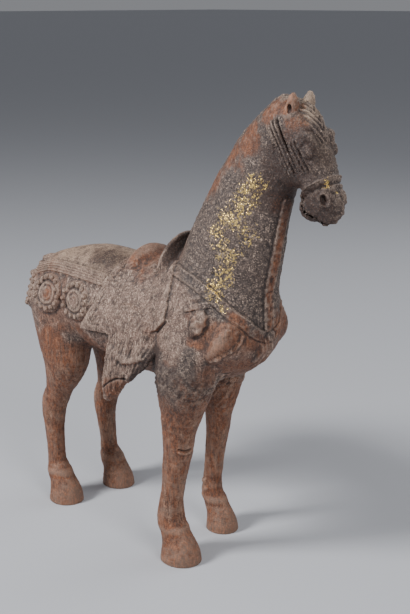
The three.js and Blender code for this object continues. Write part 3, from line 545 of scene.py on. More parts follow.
def dressed(points):
    """The dressed horse, as a distance that is negative inside."""
    form = horse(points)
    for strap in harness:
        form -= strap.lift(points)
    form -= cloth_lift(points)
    form = draped(saddled(form, points), points)
    form = joined(form, leaves, points, 0.5)
    form = joined(form, aprons, points, 2)
    form = blend(form, tassel(points), 0.6)
    return np.maximum(form, -points[:, 2])


# The casting: the whole dressed horse as one skin of iron, with flat soles. The surface is laid on a
# grid as a net of quads, moved onto the form, then given its finer relief and its rough cast skin.
# The form is measured at every COARSE-th corner of the grid, and at all corners in a BAND by the skin.
CELL = 0.36
COARSE = 4
BAND = 1.6
BATCH = 250000
FIELD_LOW = np.array([-88, -24, -2.0])
FIELD_HIGH = np.array([58, 24, 152.0])
TRIANGLES = 190000


def finer(values, axis):
    """Values on a grid COARSE times finer along one axis, by straight lines between the old ones."""
    values = np.moveaxis(values, axis, 0)
    steps = np.arange((len(values) - 1) * COARSE + 1)
    before = np.minimum(steps // COARSE, len(values) - 2)
    share = ((steps - before * COARSE) / COARSE).astype(np.float32)[:, None, None]
    return np.moveaxis(values[before] * (1 - share) + values[before + 1] * share, 0, axis)


def net_over(form):
    """Points and quads of the form's zero level, one point in each cell that the surface crosses."""
    coarse_step = CELL * COARSE
    counts = np.ceil((FIELD_HIGH - FIELD_LOW) / coarse_step).astype(int) + 1
    corners = np.argwhere(np.ones(counts, bool))
    field = form(FIELD_LOW + corners * coarse_step).reshape(counts).astype(np.float32)
    for axis in range(3):
        field = finer(field, axis)
    close = np.argwhere(np.abs(field) < BAND)
    for part in np.array_split(close, len(close) // BATCH + 1):
        field[tuple(part.T)] = form(FIELD_LOW + part * CELL)
    inside = field < 0
    quads, spots = [], []
    for axis in range(3):
        ahead, behind = [slice(None)] * 3, [slice(None)] * 3
        ahead[axis], behind[axis] = slice(1, None), slice(None, -1)
        start = np.argwhere(inside[tuple(ahead)] != inside[tuple(behind)])
        end = start + np.eye(3, dtype=int)[axis]
        here, there = field[tuple(start.T)], field[tuple(end.T)]
        spot = start.astype(float)
        spot[:, axis] += here / (here - there)
        across, up = np.eye(3, dtype=int)[(axis + 1) % 3], np.eye(3, dtype=int)[(axis + 2) % 3]
        ring = np.stack([start, start - across, start - across - up, start - up], axis=1)
        quad = np.ravel_multi_index(np.moveaxis(ring, 2, 0), field.shape)
        quads.append(np.where((here < 0)[:, None], quad, quad[:, ::-1]))
        spots.append(spot)
    quads, spots = np.vstack(quads), np.vstack(spots)
    quads = np.unique(quads, return_inverse=True)[1].reshape(-1, 4)
    share = np.bincount(quads.ravel())
    places = [np.bincount(quads.ravel(), np.repeat(spots[:, c], 4)) / share for c in range(3)]
    return FIELD_LOW + np.stack(places, axis=1) * CELL, quads


# A fixed cloud of chance values gives the rough skin the same grain on every run.
CLOUD = 48
chance = np.random.default_rng(11).random((CLOUD, CLOUD, CLOUD))


def mottle(points, size):
    """Smooth chance values from -1 to 1 in patches of about that size."""
    spot = points / size
    base = np.floor(spot).astype(int)
    share = spot - base
    share = share * share * (3 - 2 * share)
    total = np.zeros(len(points))
    for corner in np.ndindex(2, 2, 2):
        weight = np.prod(np.where(corner, share, 1 - share), axis=1)
        total += weight * chance[tuple(((base + corner) % CLOUD).T)]
    return 2 * total - 1


def rows_of(value, width):
    """A row of soft ridges, one in each width, from -1 to 1."""
    return np.cos(2 * math.pi * value / width)


def window(value, low, high, soft):
    """1 between low and high, fading to 0 outside over the soft width."""
    return step_up(low - soft, low, value) * (1 - step_up(high, high + soft, value))


# Strands of hair and of the bridle on the sides of the head. Rows: how far out of the face the middle
# strand lies, its lean, the lowest and highest strand, the start and end down the face, and the height.
STRAND_WIDTH = 1.15
STRANDS = [(-1.4, -0.04, -2.6, 2.2, -1, 14, 0.6), (2.2, 0, -1.4, 1.2, 7, 15.5, 0.55)]
# Grooves round the eye and the iris, in shares of the eye's size, and the rim of a nostril.
EYE_GROOVES = [(1.05, 0.2, -0.4), (0.5, 0.16, -0.2)]
NOSTRIL_RIM = [(0.6, 0.45, 0.45)]
NOSTRIL_DEPTH = 0.5


def head_relief(points):
    """Strands on the sides of the head, waved hair in front, lids, rims of nostrils and a rough muzzle."""
    places = head_places(points)
    down, left, out = places.T
    lift = np.zeros(len(points))
    near = np.abs(left) < 9
    near &= (down > -8) & (down < 31) & (out > -10) & (out < 10)
    down, left, out, places = down[near], left[near], out[near], places[near]
    flank = step_up(3, 4.5, np.abs(left))
    relief = np.zeros(len(places))
    for middle, lean, low, high, start, end, height in STRANDS:
        strand = out - middle - lean * down
        shown = window(strand, low, high, 0.3) * window(down, start, end, 1) * flank
        relief += height * rows_of(strand, STRAND_WIDTH) * shown
    wave = np.abs(left) + 0.4 * down
    shown = window(down, -1, 9.5, 1) * (1 - step_up(2.4, 3.2, np.abs(left))) * step_up(4, 5.5, out)
    relief += 0.32 * rows_of(wave, STRAND_WIDTH) * shown
    iris = np.hypot((down - 11) / 2.2, (out - 4.8) / 1.7)
    relief += bands(iris, EYE_GROOVES) * flank
    for nostril in nostrils:
        gap = nostril(places)
        relief += bands(gap, NOSTRIL_RIM) - NOSTRIL_DEPTH * (1 - step_up(-0.2, 0.3, gap))
    muzzle = step_up(20.5, 22, down)
    relief += muzzle * (0.34 * mottle(places, 1.3) + 0.16 * mottle(places, 0.7))
    lift[near] = relief
    return lift


# The edge of a strap and the groove outside it, in shares of its half width.
STRAP_EDGE = [(0.8, 0.2, 0.1), (1.1, 0.2, -0.22)]


def strap_relief(points):
    """Raised edges with a groove outside them on the breast, side and throat straps."""
    lift = np.zeros(len(points))
    for strap in [*breast_straps, *side_straps, throat_strap]:
        share = gap_to_line(points, strap.line, strap.half_width * 1.5) / strap.half_width
        near = np.isfinite(share)
        lift[near] += bands(share[near], STRAP_EDGE) + 0.08 * mottle(points[near], 0.8)
    return lift


# Two rings of a medallion and the groove inside its beads, in shares of its radius.
MEDALLION_RINGS = [(0.5, 0.1, 0.3), (0.28, 0.09, 0.2), (0.65, 0.09, -0.18)]


def medallion_relief(points):
    """Two thin rings round the middle of each medallion, and the groove inside its beads."""
    lift = np.zeros(len(points))
    for medallion in medallions:
        ring, near = medallion.places(points)
        near &= ring < 1.1
        lift[near] += bands(ring[near], MEDALLION_RINGS) + 0.1 * mottle(points[near], 0.9)
    return lift


def ornament_relief(points):
    """Rough leaf pendants, and the strands of the tassel."""
    lift = np.zeros(len(points))
    for leaf in leaves:
        gap = leaf(points)
        lift += np.where(gap < 0.4, 0.28 * mottle(points, 1.1), 0)
        lift -= 0.08 * hump((gap - 0.75) / 0.45)
    strands = rows_of(points[:, 1] + 0.2 * np.sin(points[:, 2]), 1.0)
    lift += np.where(tassel(points) < 0.4, 0.16 * strands, 0)
    return lift


# A crack, given as seen from the side, runs across the hanging end of the cloth on the right, and a
# gash across the right foreleg. A crusted ridge follows the lower edge of the right apron, and two
# knobs of crust sit on the left foreleg, as place and size.
CRACK = np.array([
    (-24.6, 0, 53.2), (-23.3, 0, 54.2), (-20.4, 0, 56.2), (-18.3, 0, 57.6), (-16.5, 0, 58.2), (-14, 0, 58.5),
])
GASH = np.array([(5.2, -15.2, 39), (6.2, -13.6, 38.5), (6.8, -11.4, 38.6)])
APRON_RIDGE = np.array([
    (18.7, -14.5, 70.8), (20.1, -14.1, 71.7), (21.7, -13.1, 72.9), (22.9, -11.5, 73.9), (24, -10.1, 75.1),
    (25, -9, 77), (25.3, -8.6, 78.6),
])
LEG_KNOBS = [((-9.3, 9.9, 16.4), 1.5), ((-7.9, 9.4, 13.8), 1.2)]
CRACK_DEPTH = 0.75
CRACK_WIDTH = 0.42
GASH_DEPTH = 0.8
GASH_WIDTH = 0.55
GASH_LIP = 0.35
GASH_LIP_WIDTH = 0.6
RIDGE_HEIGHT = 0.65
RIDGE_WIDTH = 0.9
KNOB_HEIGHT = 0.7
# The corded line inside the border of the cloth and the groove beside it, and the slot under its edge.
CLOTH_CORD = [(3.4, 0.5, 0.12), (2.7, 0.5, -0.16)]
CLOTH_SLOT = [(-0.5, 0.5, 1)]


def cloth_relief(points):
    """Brushed felt with a corded inner border, the crack of the hanging end, and folds in its weave."""
    x, y, z = points.T
    lift = np.zeros(len(points))
    near = (z > 45) & (z < 98) & (x > -42) & (x < 4) & (np.abs(y) > 6)
    spots = points[near]
    x, y, z = spots.T
    inside = inside_cloth(x, z)
    felt = step_up(-0.2, 0.4, inside)
    across, along = spots @ (0.78, 0, -0.62), spots @ (0.62, 0, 0.78)
    brushed = np.stack([1.7 * across, 1.7 * y, 0.2 * along], axis=1)
    relief = 0.2 * mottle(brushed, 1) * np.maximum(felt, z < 70)
    relief += bands(inside, CLOTH_CORD) * (x < -20)
    hanging = np.minimum(*[part(spots) for part in drapes]) < 0.8
    edge = ~hanging & (z < np.where(x < -20, 88, 80))
    slot = (x < -22) & (z < 73)
    relief -= np.where(slot, 0.6, 0.25) * bands(inside, CLOTH_SLOT) * edge
    relief += 0.1 * rows_of(fan_of(x, z), 1.3) * hanging
    crack = hump(gap_to_line(spots * (1, 0, 1), CRACK, 1) / CRACK_WIDTH)
    relief -= CRACK_DEPTH * crack * (y < -15)
    lift[near] = relief
    return lift


def carved_relief(points):
    """All the relief that was modelled, without the chance roughness of the skin."""
    ornaments = strap_relief(points) + medallion_relief(points) + ornament_relief(points)
    return head_relief(points) + ornaments + cloth_relief(points)


def skin_relief(points):
    """The rough cast skin: a thick pitted crust on the neck and shoulders, streaks down the legs."""
    x, _, z = points.T
    crust = crust_share(points)
    grain = mottle(points, 0.8) + 0.6 * mottle(points, 0.55)
    pits = np.clip(-mottle(points, 1) - 0.35, 0, None)
    lift = crust * (0.13 * grain - 0.35 * pits) + (1 - crust) * (0.06 * grain + 0.05 * mottle(points, 2.2))
    streaks = mottle(points * (1.5, 1.5, 0.16), 1)
    lift += 0.09 * streaks * (1 - step_up(66, 76, z)) * step_up(10, 16, z)
    lift += 0.16 * mottle(points, 7) + 0.3 * hump((z - 10.4) / 1.6) * step_up(-1, 1, mottle(points, 3) + 0.6)
    lift -= GASH_DEPTH * hump(gap_to_line(points, GASH, 1.2) / GASH_WIDTH)
    lift += GASH_LIP * hump(gap_to_line(points + (0, 0, 1), GASH, 1.2) / GASH_LIP_WIDTH)
    ridge = hump(gap_to_line(points, APRON_RIDGE, 2) / RIDGE_WIDTH)
    lift += RIDGE_HEIGHT * ridge * (1 + mottle(points, 0.9))
    for place, size in LEG_KNOBS:
        lift += KNOB_HEIGHT * round_spot(points, place, size)
    lift += 0.3 * rows_of(z, 2.4) * (x < -79)
    return lift + fringe_share(points) * (0.5 * np.clip(mottle(points, 1.1), -0.1, None) + 0.12 * grain)


def fringe_share(points):
    """Where the crust ends in a wormy fringe: on the tops of the forelegs, the muzzle and the apron."""
    x, _, z = points.T
    forelegs = hump((z - 60 - 3 * mottle(points, 4)) / 9) * step_up(-9, -5, x) * (1 - step_up(18, 23, x))
    muzzle = step_up(120, 122, 0.3 * x + z - 15) * (1 - step_up(123, 125, z)) * step_up(42, 45, x)
    ridge = 0.6 * hump(gap_to_line(points, APRON_RIDGE, 3) / 1.5)
    return np.maximum.reduce([forelegs, 0.8 * muzzle, ridge])


def round_spot(points, place, size, stretch=1):
    """A round spot, 1 in its middle and 0 at its rim."""
    return hump(np.linalg.norm((points - place) * stretch, axis=1) / size)


def crust_share(points):
    """How thick the dark crust lies, from 0 to 1: most on the neck and the shoulders."""
    x, _, z = points.T
    strap_height = 93 - 0.64 * np.abs(x)
    neck_share = step_up(-1, 4, z - strap_height) * step_up(-6, 4, x)
    ragged = z + 3 * mottle(points, 5)
    behind_chest = 1 - step_up(12, 19, x + 0.4 * (z - 60))
    shoulder = 1.8 * hump((ragged - 63) / 12) * step_up(-10, -4, x) * behind_chest
    shoulder += round_spot(points, (12.5, -17.5, 70), 7, (1.6, 1, 0.7))
    head_share = step_up(28, 34, x) * step_up(112, 116, z) * 0.3
    behind_saddle = 0.9 * round_spot(points, (-36.5, -7, 91.2), 7, (0.8, 1, 1.4))
    share = np.maximum.reduce([neck_share, shoulder, head_share, behind_saddle])
    return np.clip(share + 0.25 * mottle(points, 4) - 0.1, 0, 1) * step_up(0, 0.4, share)


def normals_of(points, faces):
    """The ways out at the points of a mesh, from the faces round them."""
    first, second, third = points[faces[:, 0]], points[faces[:, 1]], points[faces[:, 2]]
    way = np.cross(second - first, third - first)
    total = np.stack([
        sum(np.bincount(faces[:, k], way[:, c], len(points)) for k in range(faces.shape[1])) for c in range(3)
    ], axis=1)
    return total / np.maximum(np.linalg.norm(total, axis=1), 1e-12)[:, None]


def new_object(name, data):
    """An object in the scene that holds a mesh, a lamp or the camera."""
    made = bpy.data.objects.new(name, data)
    bpy.context.scene.collection.objects.link(made)
    return made


def new_piece(name, points, edges, faces):
    """A mesh object at the origin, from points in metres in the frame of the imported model."""
    mesh = bpy.data.meshes.new(name)
    mesh.from_pydata(points.tolist(), edges, faces)
    return new_object(name, mesh)


def rows_from(items, name, width, kind=float):
    """What the items of a mesh hold under a name, one row for each."""
    values = np.empty(len(items) * width, kind)
    items.foreach_get(name, values)
    return values.reshape(-1, width)


points, quads = net_over(dressed)
for _ in range(3):
    points -= normals_of(points, quads) * dressed(points)[:, None]
ways = normals_of(points, quads)
on_ground = points[:, 2] < 0.3
points += ways * ((carved_relief(points) + skin_relief(points)) * ~on_ground)[:, None]

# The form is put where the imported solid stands: over the middle of its box, and never outside the box.
ground_shift = (cad_low + cad_high) / 2 - PERCENT * (points.min(axis=0) + points.max(axis=0)) / 2
ground_shift[2] = 0


def in_frame(points):
    """Places of the tables in metres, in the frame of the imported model."""
    return points * PERCENT + ground_shift


def plain_mesh(piece):
    """Replaces a piece's mesh by what its modifiers make of it, and keeps it in the box of the solid."""
    made = bpy.data.meshes.new_from_object(piece.evaluated_get(bpy.context.evaluated_depsgraph_get()))
    places = np.clip(rows_from(made.vertices, "co", 3), cad_low, cad_high)
    made.vertices.foreach_set("co", places.ravel())
    piece.modifiers.clear()
    piece.data = made


casting = new_piece("horse_casting", in_frame(points), [], quads.tolist())
thinner = casting.modifiers.new("thinner", "DECIMATE")
thinner.use_collapse_triangulate = True
thinner.ratio = min(1, TRIANGLES / (2 * len(quads)))
plain_mesh(casting)

# Patches of weathering and of painted light, as place, size and strength. Bright rust lies on the crest,
# chest, saddle and rump, soot on the head and behind the saddle, painted shade on the throat under the jaw
# and under the chin, on the face of the front arch and under the right leaf pendant, chalk on the aprons,
# pale earth on the face, pale earth with a painted highlight on the ears, and leaf gold is left in flakes on
# the neck and the muzzle.
RUST_PATCHES = [
    ((40.5, -5.8, 140.5), 5, 0.85), ((31, -6, 144), 6, 1), ((24, -6, 136), 6, 1), ((16, -6, 130), 7, 0.9),
    ((10, -6, 121), 6, 0.8), ((22, -11, 80), 7, 0.9), ((27, -4, 76), 6, 0.7), ((19, -15, 76), 6.5, 1),
    ((-55, -19, 78), 3.6, 1), ((-55, -18, 66), 9, 0.42), ((-46, -14, 63), 8, 0.4), ((-21, -21, 54), 6, 0.8),
    ((34, -2, 119), 4, 1), ((-75, -6, 72), 7, 0.7), ((38.5, -4.3, 145.5), 4.5, 1), ((-18, -5, 97), 13, 0.62),
    ((28, 4, 79), 6, 1), ((26, 8.5, 78), 7, 1), ((11.4, -16, 82.5), 3, 0.35), ((-54, -18, 74), 17, 0.4),
]
SOOT_AND_SHADE_PATCHES = [
    ((40.5, -7, 130), 12, 1), ((45.5, -6, 134), 5, 1), ((46, -5, 118), 10, 1), ((34.5, -4, 122), 8, 1),
    ((-36, -7, 91.2), 8, 0.8), ((12.6, -17.6, 78.3), 2.2, 0.8), ((43.5, -5.5, 136.6), 4.5, 1),
    ((-5.2, -6, 98.6), 4.5, 1), ((-5.3, -2, 101), 4, 1), ((5, -18, 59), 10, 0.5), ((14, -16, 61), 7, 0.45),
]
CHALK_PATCHES = [((20, -13, 78), 9, 0.5), ((28, 3, 79), 6, 0.4)]
EARTH_AND_HIGHLIGHT_PATCHES = [((38.8, 2.5, 146), 4.5, 1), ((41.5, -1, 142.5), 4, 0.8), ((48, -1.5, 133), 5, 0.5)]
GOLD_PATCHES = [
    ((28.2, -7.1, 124), 6, 0.9), ((25, -7.8, 119), 8, 0.9), ((21.5, -8.6, 113), 8, 0.9),
    ((25.5, -7.9, 109), 7, 0.85), ((17.5, -10, 107), 7, 0.9), ((20.5, -9.8, 102), 7, 0.9),
    ((18.5, -10.5, 96), 6, 0.9), ((17, -12, 91), 5, 0.9), ((20.5, -12, 86.5), 2.6, 0.8),
    ((50, -2.8, 125), 2.2, 1), ((52, -0.2, 122.7), 1.6, 1),
]


def patches(points, places, ragged):
    """How well points lie in patches with ragged rims, from 0 to 1."""
    share = np.zeros(len(points))
    for place, size, strength in places:
        gap = np.linalg.norm(points - place, axis=1) / size + ragged
        share = np.maximum(share, (1 - step_up(0.4, 1.25, gap)) * strength)
    return share


# How far rust and grime reach along the throat strap, and how many times hollows are spread.
THROAT_REACH = 2.6
HOLLOW_ROUNDS = 5
# The front edge of the cloth end that hangs by the foreleg, as heights and places along the horse.
GATHER_HEIGHTS = [58.4, 64, 66, 68, 70.5, 75.9]
GATHER_EDGE = [-13.5, -8.4, -6.4, -4.7, -3, -1.9]


def weather(mesh):
    """Writes on a mesh, at each point, how hollow and carved it is, and how much of each finish and of
    painted shade and highlight it has.
    """
    places = (rows_from(mesh.vertices, "co", 3) - ground_shift) / PERCENT
    x, y, z = places.T
    normals = rows_from(mesh.vertex_normals, "vector", 3)
    ends = rows_from(mesh.edges, "vertices", 2, np.int64)
    one, other = ends.T
    count = np.bincount(ends.ravel(), minlength=len(places))[:, None]
    mean = places
    for _ in range(HOLLOW_ROUNDS):
        total = [np.bincount(one, mean[other, c], len(places)) for c in range(3)]
        total = [row + np.bincount(other, mean[one, c], len(places)) for c, row in enumerate(total)]
        mean = np.stack(total, axis=1) / count
    # How far each point sinks below its neighbours: the finish paints shade in the hollows and a highlight on
    # the ridges from it.
    hollow = ((mean - places) * normals).sum(axis=1)
    wander = 0.45 * mottle(places, 4) + 0.3 * mottle(places, 1.7)
    low = 1 - step_up(50, 72, z + 15 * wander - np.where(x < -30, 6, 1))
    low *= step_up(0.8, 2.5, np.minimum(*[part(places) for part in drapes]))
    belly = step_up(0.2, 0.8, -normals[:, 2]) * 0.8
    throat = hump(gap_to_line(places, throat_strap.line, 3) / THROAT_REACH)
    rust = np.maximum.reduce([low, belly, patches(places, RUST_PATCHES, wander), np.nan_to_num(throat)])
    # The upward-facing top of the croup is made paler with the same colour.
    back = step_up(0.6, 0.95, normals[:, 2] + 0.2 * wander) * step_up(84, 90, z) * (x < -30)
    drips = step_up(0, 0.8, mottle(places * (1.1, 1.1, 0.16), 1.3) + 0.4 * mottle(places, 9)) * low
    drips *= step_up(6, 14, z)
    # On the plate of the cloth the hollows get no painted shade or highlight.
    smooth = 0.85 * window(x, -27, -4, 2) * window(z, 73, 84, 2) * (np.abs(y) > 12)
    # Painted shade on the wall of the front arch that faces forward, towards the neck.
    arch_shade = 0.85 * step_up(0.3, 0.7, normals[:, 0]) * window(x, -8, -2, 1) * step_up(93, 95, z)
    # Painted shadow ahead of the hanging end of the cloth, between it and the foreleg.
    ahead = x - np.interp(z, GATHER_HEIGHTS, GATHER_EDGE)
    gather_shadow = step_up(0, 0.8, ahead) * (1 - step_up(-0.5, 0.8, x)) * window(z, 57, 71, 2) * (np.abs(y) > 10)
    shares = {
        "rust": rust,
        "crust": crust_share(places) * (1 - 0.9 * rust),
        "gold": patches(places, GOLD_PATCHES, 0.1 + 0.35 * mottle(places, 2.4)),
        "earth_and_highlight": np.maximum(back, patches(places, EARTH_AND_HIGHLIGHT_PATCHES, 0.4 * wander)),
        "chalk": np.maximum(drips, patches(places, CHALK_PATCHES, 0.3 * wander)),
        "fringe": fringe_share(places),
        "hollow": np.clip(hollow / 0.2, -1, 1) * (1 - smooth),
        "carved": carved_relief(places),
        "soot_and_shade": np.maximum.reduce([patches(places, SOOT_AND_SHADE_PATCHES, 0.5 * wander), arch_shade, gather_shadow]),
    }
    for name, values in shares.items():
        layer = mesh.attributes.new(name, "FLOAT", "POINT")
        layer.data.foreach_set("value", values.astype(np.float32))
    mesh.polygons.foreach_set("use_smooth", np.ones(len(mesh.polygons), bool))


class Nodes:
    """Adds nodes to a tree. An input is given by its name or place, as a value or as a node's output."""

    def __init__(self, tree):
        self.tree = tree

    def add(self, kind, inputs=(), out=0, **settings):
        """Adds a node and gives one of its outputs."""
        made = self.tree.nodes.new(kind)
        for name, value in settings.items():
            setattr(made, name, value)
        for place, value in dict(inputs).items():
            if isinstance(value, bpy.types.NodeSocket):
                self.tree.links.new(value, made.inputs[place])
            else:
                made.inputs[place].default_value = value
        return made.outputs[out] if made.outputs else None

    def share(self, name):
        """A weathering share that is written on the mesh."""
        return self.add("ShaderNodeAttribute", out="Fac", attribute_name=name)

    def noise(self, place, scale, detail=4.0, rough=0.6):
        """Clouds of chance values round 0.5, so many of them in a metre."""
        settings = {"Vector": place, "Scale": scale, "Detail": detail, "Roughness": rough}
        return self.add("ShaderNodeTexNoise", settings)

    def between(self, value, low, high, start=0.0, end=1.0):
        """Takes a value's way from low to high over to the way from start to end."""
        settings = {0: value, 1: low, 2: high, 3: start, 4: end}
        return self.add("ShaderNodeMapRange", settings)

    def times(self, one, other):
        """The product of two values."""
        return self.add("ShaderNodeMath", {0: one, 1: other}, operation="MULTIPLY")

    def plus(self, one, other):
        """The sum of two values."""
        return self.add("ShaderNodeMath", {0: one, 1: other}, operation="ADD")

    def mix(self, share, under, over):
        """One colour laid over another."""
        return self.add("ShaderNodeMix", {0: share, 6: under, 7: over}, 2, data_type="RGBA")


# Colours of the finish: bare iron, rust, chalk, crust, its pale specks, dry earth, leaf gold and soot.
# The dark of the crust, the pale of the specks, the earth and the soot colours also paint shade and
# highlights.
IRON_DARK = (0.052, 0.029, 0.021, 1)
IRON_PALE = (0.236, 0.142, 0.108, 1)
RUST_DARK = (0.072, 0.024, 0.011, 1)
RUST_BRIGHT = (0.250, 0.081, 0.028, 1)
CHALK = (0.300, 0.200, 0.140, 1)
DARK_CRUST_AND_SHADE = (0.022, 0.015, 0.014, 1)
CRUST_PALE = (0.122, 0.083, 0.067, 1)
PALE_SPECK_AND_HIGHLIGHT = (0.580, 0.430, 0.330, 1)
EARTH_AND_HIGHLIGHT = (0.340, 0.240, 0.165, 1)
GOLD = (0.780, 0.540, 0.170, 1)
SOOT_AND_SHADE = (0.042, 0.018, 0.011, 1)


def weathered_iron():
    """Rusted cast iron with dark crust, pale specks, dry earth, soot and flakes of leaf gold, and painted
    shade and highlights.
    """
    material = bpy.data.materials.new("weathered_iron")
    material.use_nodes = True
    nodes = Nodes(material.node_tree)
    nodes.tree.nodes.clear()
    mix, between, times, plus = nodes.mix, nodes.between, nodes.times, nodes.plus
    share, noise = nodes.share, nodes.noise
    place = nodes.add("ShaderNodeTexCoord", out="Object")
    brushed = nodes.add("ShaderNodeMapping", {"Vector": place, "Scale": (1.0, 1.0, 0.18)})
    clouds, patch, flecks = noise(place, 18.0), noise(place, 90.0), noise(place, 260.0)
    grain, dust, strokes = noise(place, 450.0, 6.0, 0.7), noise(place, 560.0, 3.0, 0.7), noise(brushed, 520.0)
    pores = nodes.add("ShaderNodeTexVoronoi", {"Vector": place, "Scale": 520.0}, feature="F1")
    cells = nodes.add("ShaderNodeTexVoronoi", {"Vector": place, "Scale": 330.0}, feature="DISTANCE_TO_EDGE")
    hollow, carved, fringe, soot_and_shade = share("hollow"), share("carved"), share("fringe"), share("soot_and_shade")

    # Bare iron, bright rust and thick crust are each a mottle of two tones.
    uneven = plus(times(patch, 0.45), times(grain, 0.55))
    rusty = plus(times(strokes, 0.5), plus(times(patch, 0.35), times(grain, 0.35)))
    bare = mix(between(uneven, 0.40, 0.60), IRON_DARK, IRON_PALE)
    rust = mix(between(rusty, 0.48, 0.72), RUST_DARK, RUST_BRIGHT)
    crust = mix(between(grain, 0.4, 0.66), DARK_CRUST_AND_SHADE, CRUST_PALE)

    # Where each finish lies, broken up by the mottle.
    rust_here = plus(share("rust"), between(clouds, 0.3, 0.75, -0.35, 0.5))
    chalk_here = times(share("chalk"), between(plus(strokes, dust), 0.85, 1.15))
    pale_strokes = times(between(strokes, 0.54, 0.64, 0.0, 0.5), between(rust_here, 0.2, 0.6, 1.0, 0.0))
    crust_here = plus(share("crust"), between(grain, 0.3, 0.7, -0.45, 0.45))
    crust_here = plus(crust_here, times(fringe, 0.15))
    specks = times(between(dust, 0.55, 0.63), between(patch, 0.38, 0.6, 0.25, 0.9))
    specks = times(specks, between(rust_here, 0.1, 0.7, 0.8, 0.1))
    worms = times(between(cells, 0.05, 0.14, 1.0, 0.0), between(patch, 0.42, 0.52))
    dark = times(between(dust, 0.46, 0.38), between(patch, 0.6, 0.4, 0.45, 0.8))
    earth_and_highlight_here = times(share("earth_and_highlight"), between(plus(patch, grain), 0.85, 1.2, 0.1, 0.85))
    leaf = plus(times(grain, 1.35), times(flecks, 0.85))
    gilt = between(plus(times(share("gold"), 0.5), leaf), 1.57, 1.63)
    gilt = times(gilt, between(hollow, 0.1, 0.7, 1.0, 0.0))

    # The finishes, the painted shade and the painted highlights over the bare iron, from the lowest to the
    # leaf gold on top.
    layers = [
        (between(rust_here, 0.25, 0.8), rust),
        (times(chalk_here, 0.5), CHALK),
        (between(strokes, 0.62, 0.45, 0.0, 0.3), IRON_DARK),
        (pale_strokes, PALE_SPECK_AND_HIGHLIGHT),
        (between(crust_here, 0.25, 0.75), crust),
        (specks, PALE_SPECK_AND_HIGHLIGHT),
        (times(times(worms, fringe), 0.45), PALE_SPECK_AND_HIGHLIGHT),
        (times(dark, 0.8), DARK_CRUST_AND_SHADE),
        # Pale earth, with a painted highlight on the ears, and a paler croup top.
        (earth_and_highlight_here, EARTH_AND_HIGHLIGHT),
        # Painted shade in the hollows, and a painted highlight on the ridges.
        (between(hollow, 0.05, 0.8, 0.0, 0.7), DARK_CRUST_AND_SHADE),
        (between(hollow, -0.3, -1.0, 0.0, 0.16), PALE_SPECK_AND_HIGHLIGHT),
        # Painted shade in the carved grooves, and a painted highlight on the raised relief.
        (between(carved, -0.03, -0.42, 0.0, 0.7), DARK_CRUST_AND_SHADE),
        (between(carved, 0.03, 0.4, 0.0, 0.2), PALE_SPECK_AND_HIGHLIGHT),
        # Soot, and painted shade under the jaw, on the front arch and beside the hanging cloth.
        (times(soot_and_shade, between(grain, 0.42, 0.62, 1.0, 0.45)), SOOT_AND_SHADE),
        (times(between(cells, 0.02, 0.16, 0.9, 0.0), soot_and_shade), DARK_CRUST_AND_SHADE),
        (gilt, GOLD),
    ]
    colour = bare
    for here, finish in layers:
        colour = mix(here, colour, finish)
    roughness = plus(between(grain, 0.32, 0.68, 0.85, 0.45), times(gilt, -0.38))
    height = plus(plus(times(grain, 0.6), times(pores, 0.35)), times(strokes, 0.45))
    height = plus(height, times(times(patch, share("crust")), 1.2))
    bump = nodes.add("ShaderNodeBump", {"Strength": 0.9, "Distance": 0.0014, "Height": height})
    shader = nodes.add("ShaderNodeBsdfPrincipled", {
        "Base Color": colour, "Roughness": roughness, "Metallic": times(gilt, 0.8), "Normal": bump,
        "Specular IOR Level": 0.5,
    })
    nodes.add("ShaderNodeOutputMaterial", {"Surface": shader})
    return material


iron = weathered_iron()
weather(casting.data)
casting.data.materials.append(iron)
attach(casting, "root")
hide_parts("horse")

# Twisted cords of iron, cast on the leather: a bundle of five along the crupper, one at each edge of the
# breast strap, and one round the nose. Each follows its path and lies on the skin of the casting.
CORD_STEP = 0.0018
CORD_SIDES = 8
TWIST_RATE = 1800.0
TWIST_DEPTH = 0.16
NOSEBAND_START = 9


def geometry_tree(name, inputs, output):
    """A geometry tree with named inputs of some kinds, its nodes, and the sockets that give the inputs."""
    tree = bpy.data.node_groups.new(name, "GeometryNodeTree")
    for label, kind in inputs.items():
        tree.interface.new_socket(label, in_out="INPUT", socket_type="NodeSocket" + kind)
    tree.interface.new_socket(output, in_out="OUTPUT", socket_type="NodeSocketGeometry")
    return tree, Nodes(tree), tree.nodes.new("NodeGroupInput").outputs


def on_casting(nodes, geometry, given):
    """Moves each point of the geometry to the nearest place on the casting."""
    skin = nodes.add("GeometryNodeObjectInfo", {"Object": given["Casting"]}, "Geometry")
    nearest = nodes.add("GeometryNodeProximity", {0: skin}, "Position", target_element="FACES")
    return nodes.add("GeometryNodeSetPosition", {"Geometry": geometry, "Position": nearest})


def hand_out(nodes, geometry, given):
    """Gives the realized geometry out in the finish of the casting."""
    geometry = nodes.add("GeometryNodeRealizeInstances", {"Geometry": geometry})
    geometry = nodes.add("GeometryNodeSetMaterial", {"Geometry": geometry, "Material": given["Iron"]})
    nodes.add("NodeGroupOutput", {0: geometry})


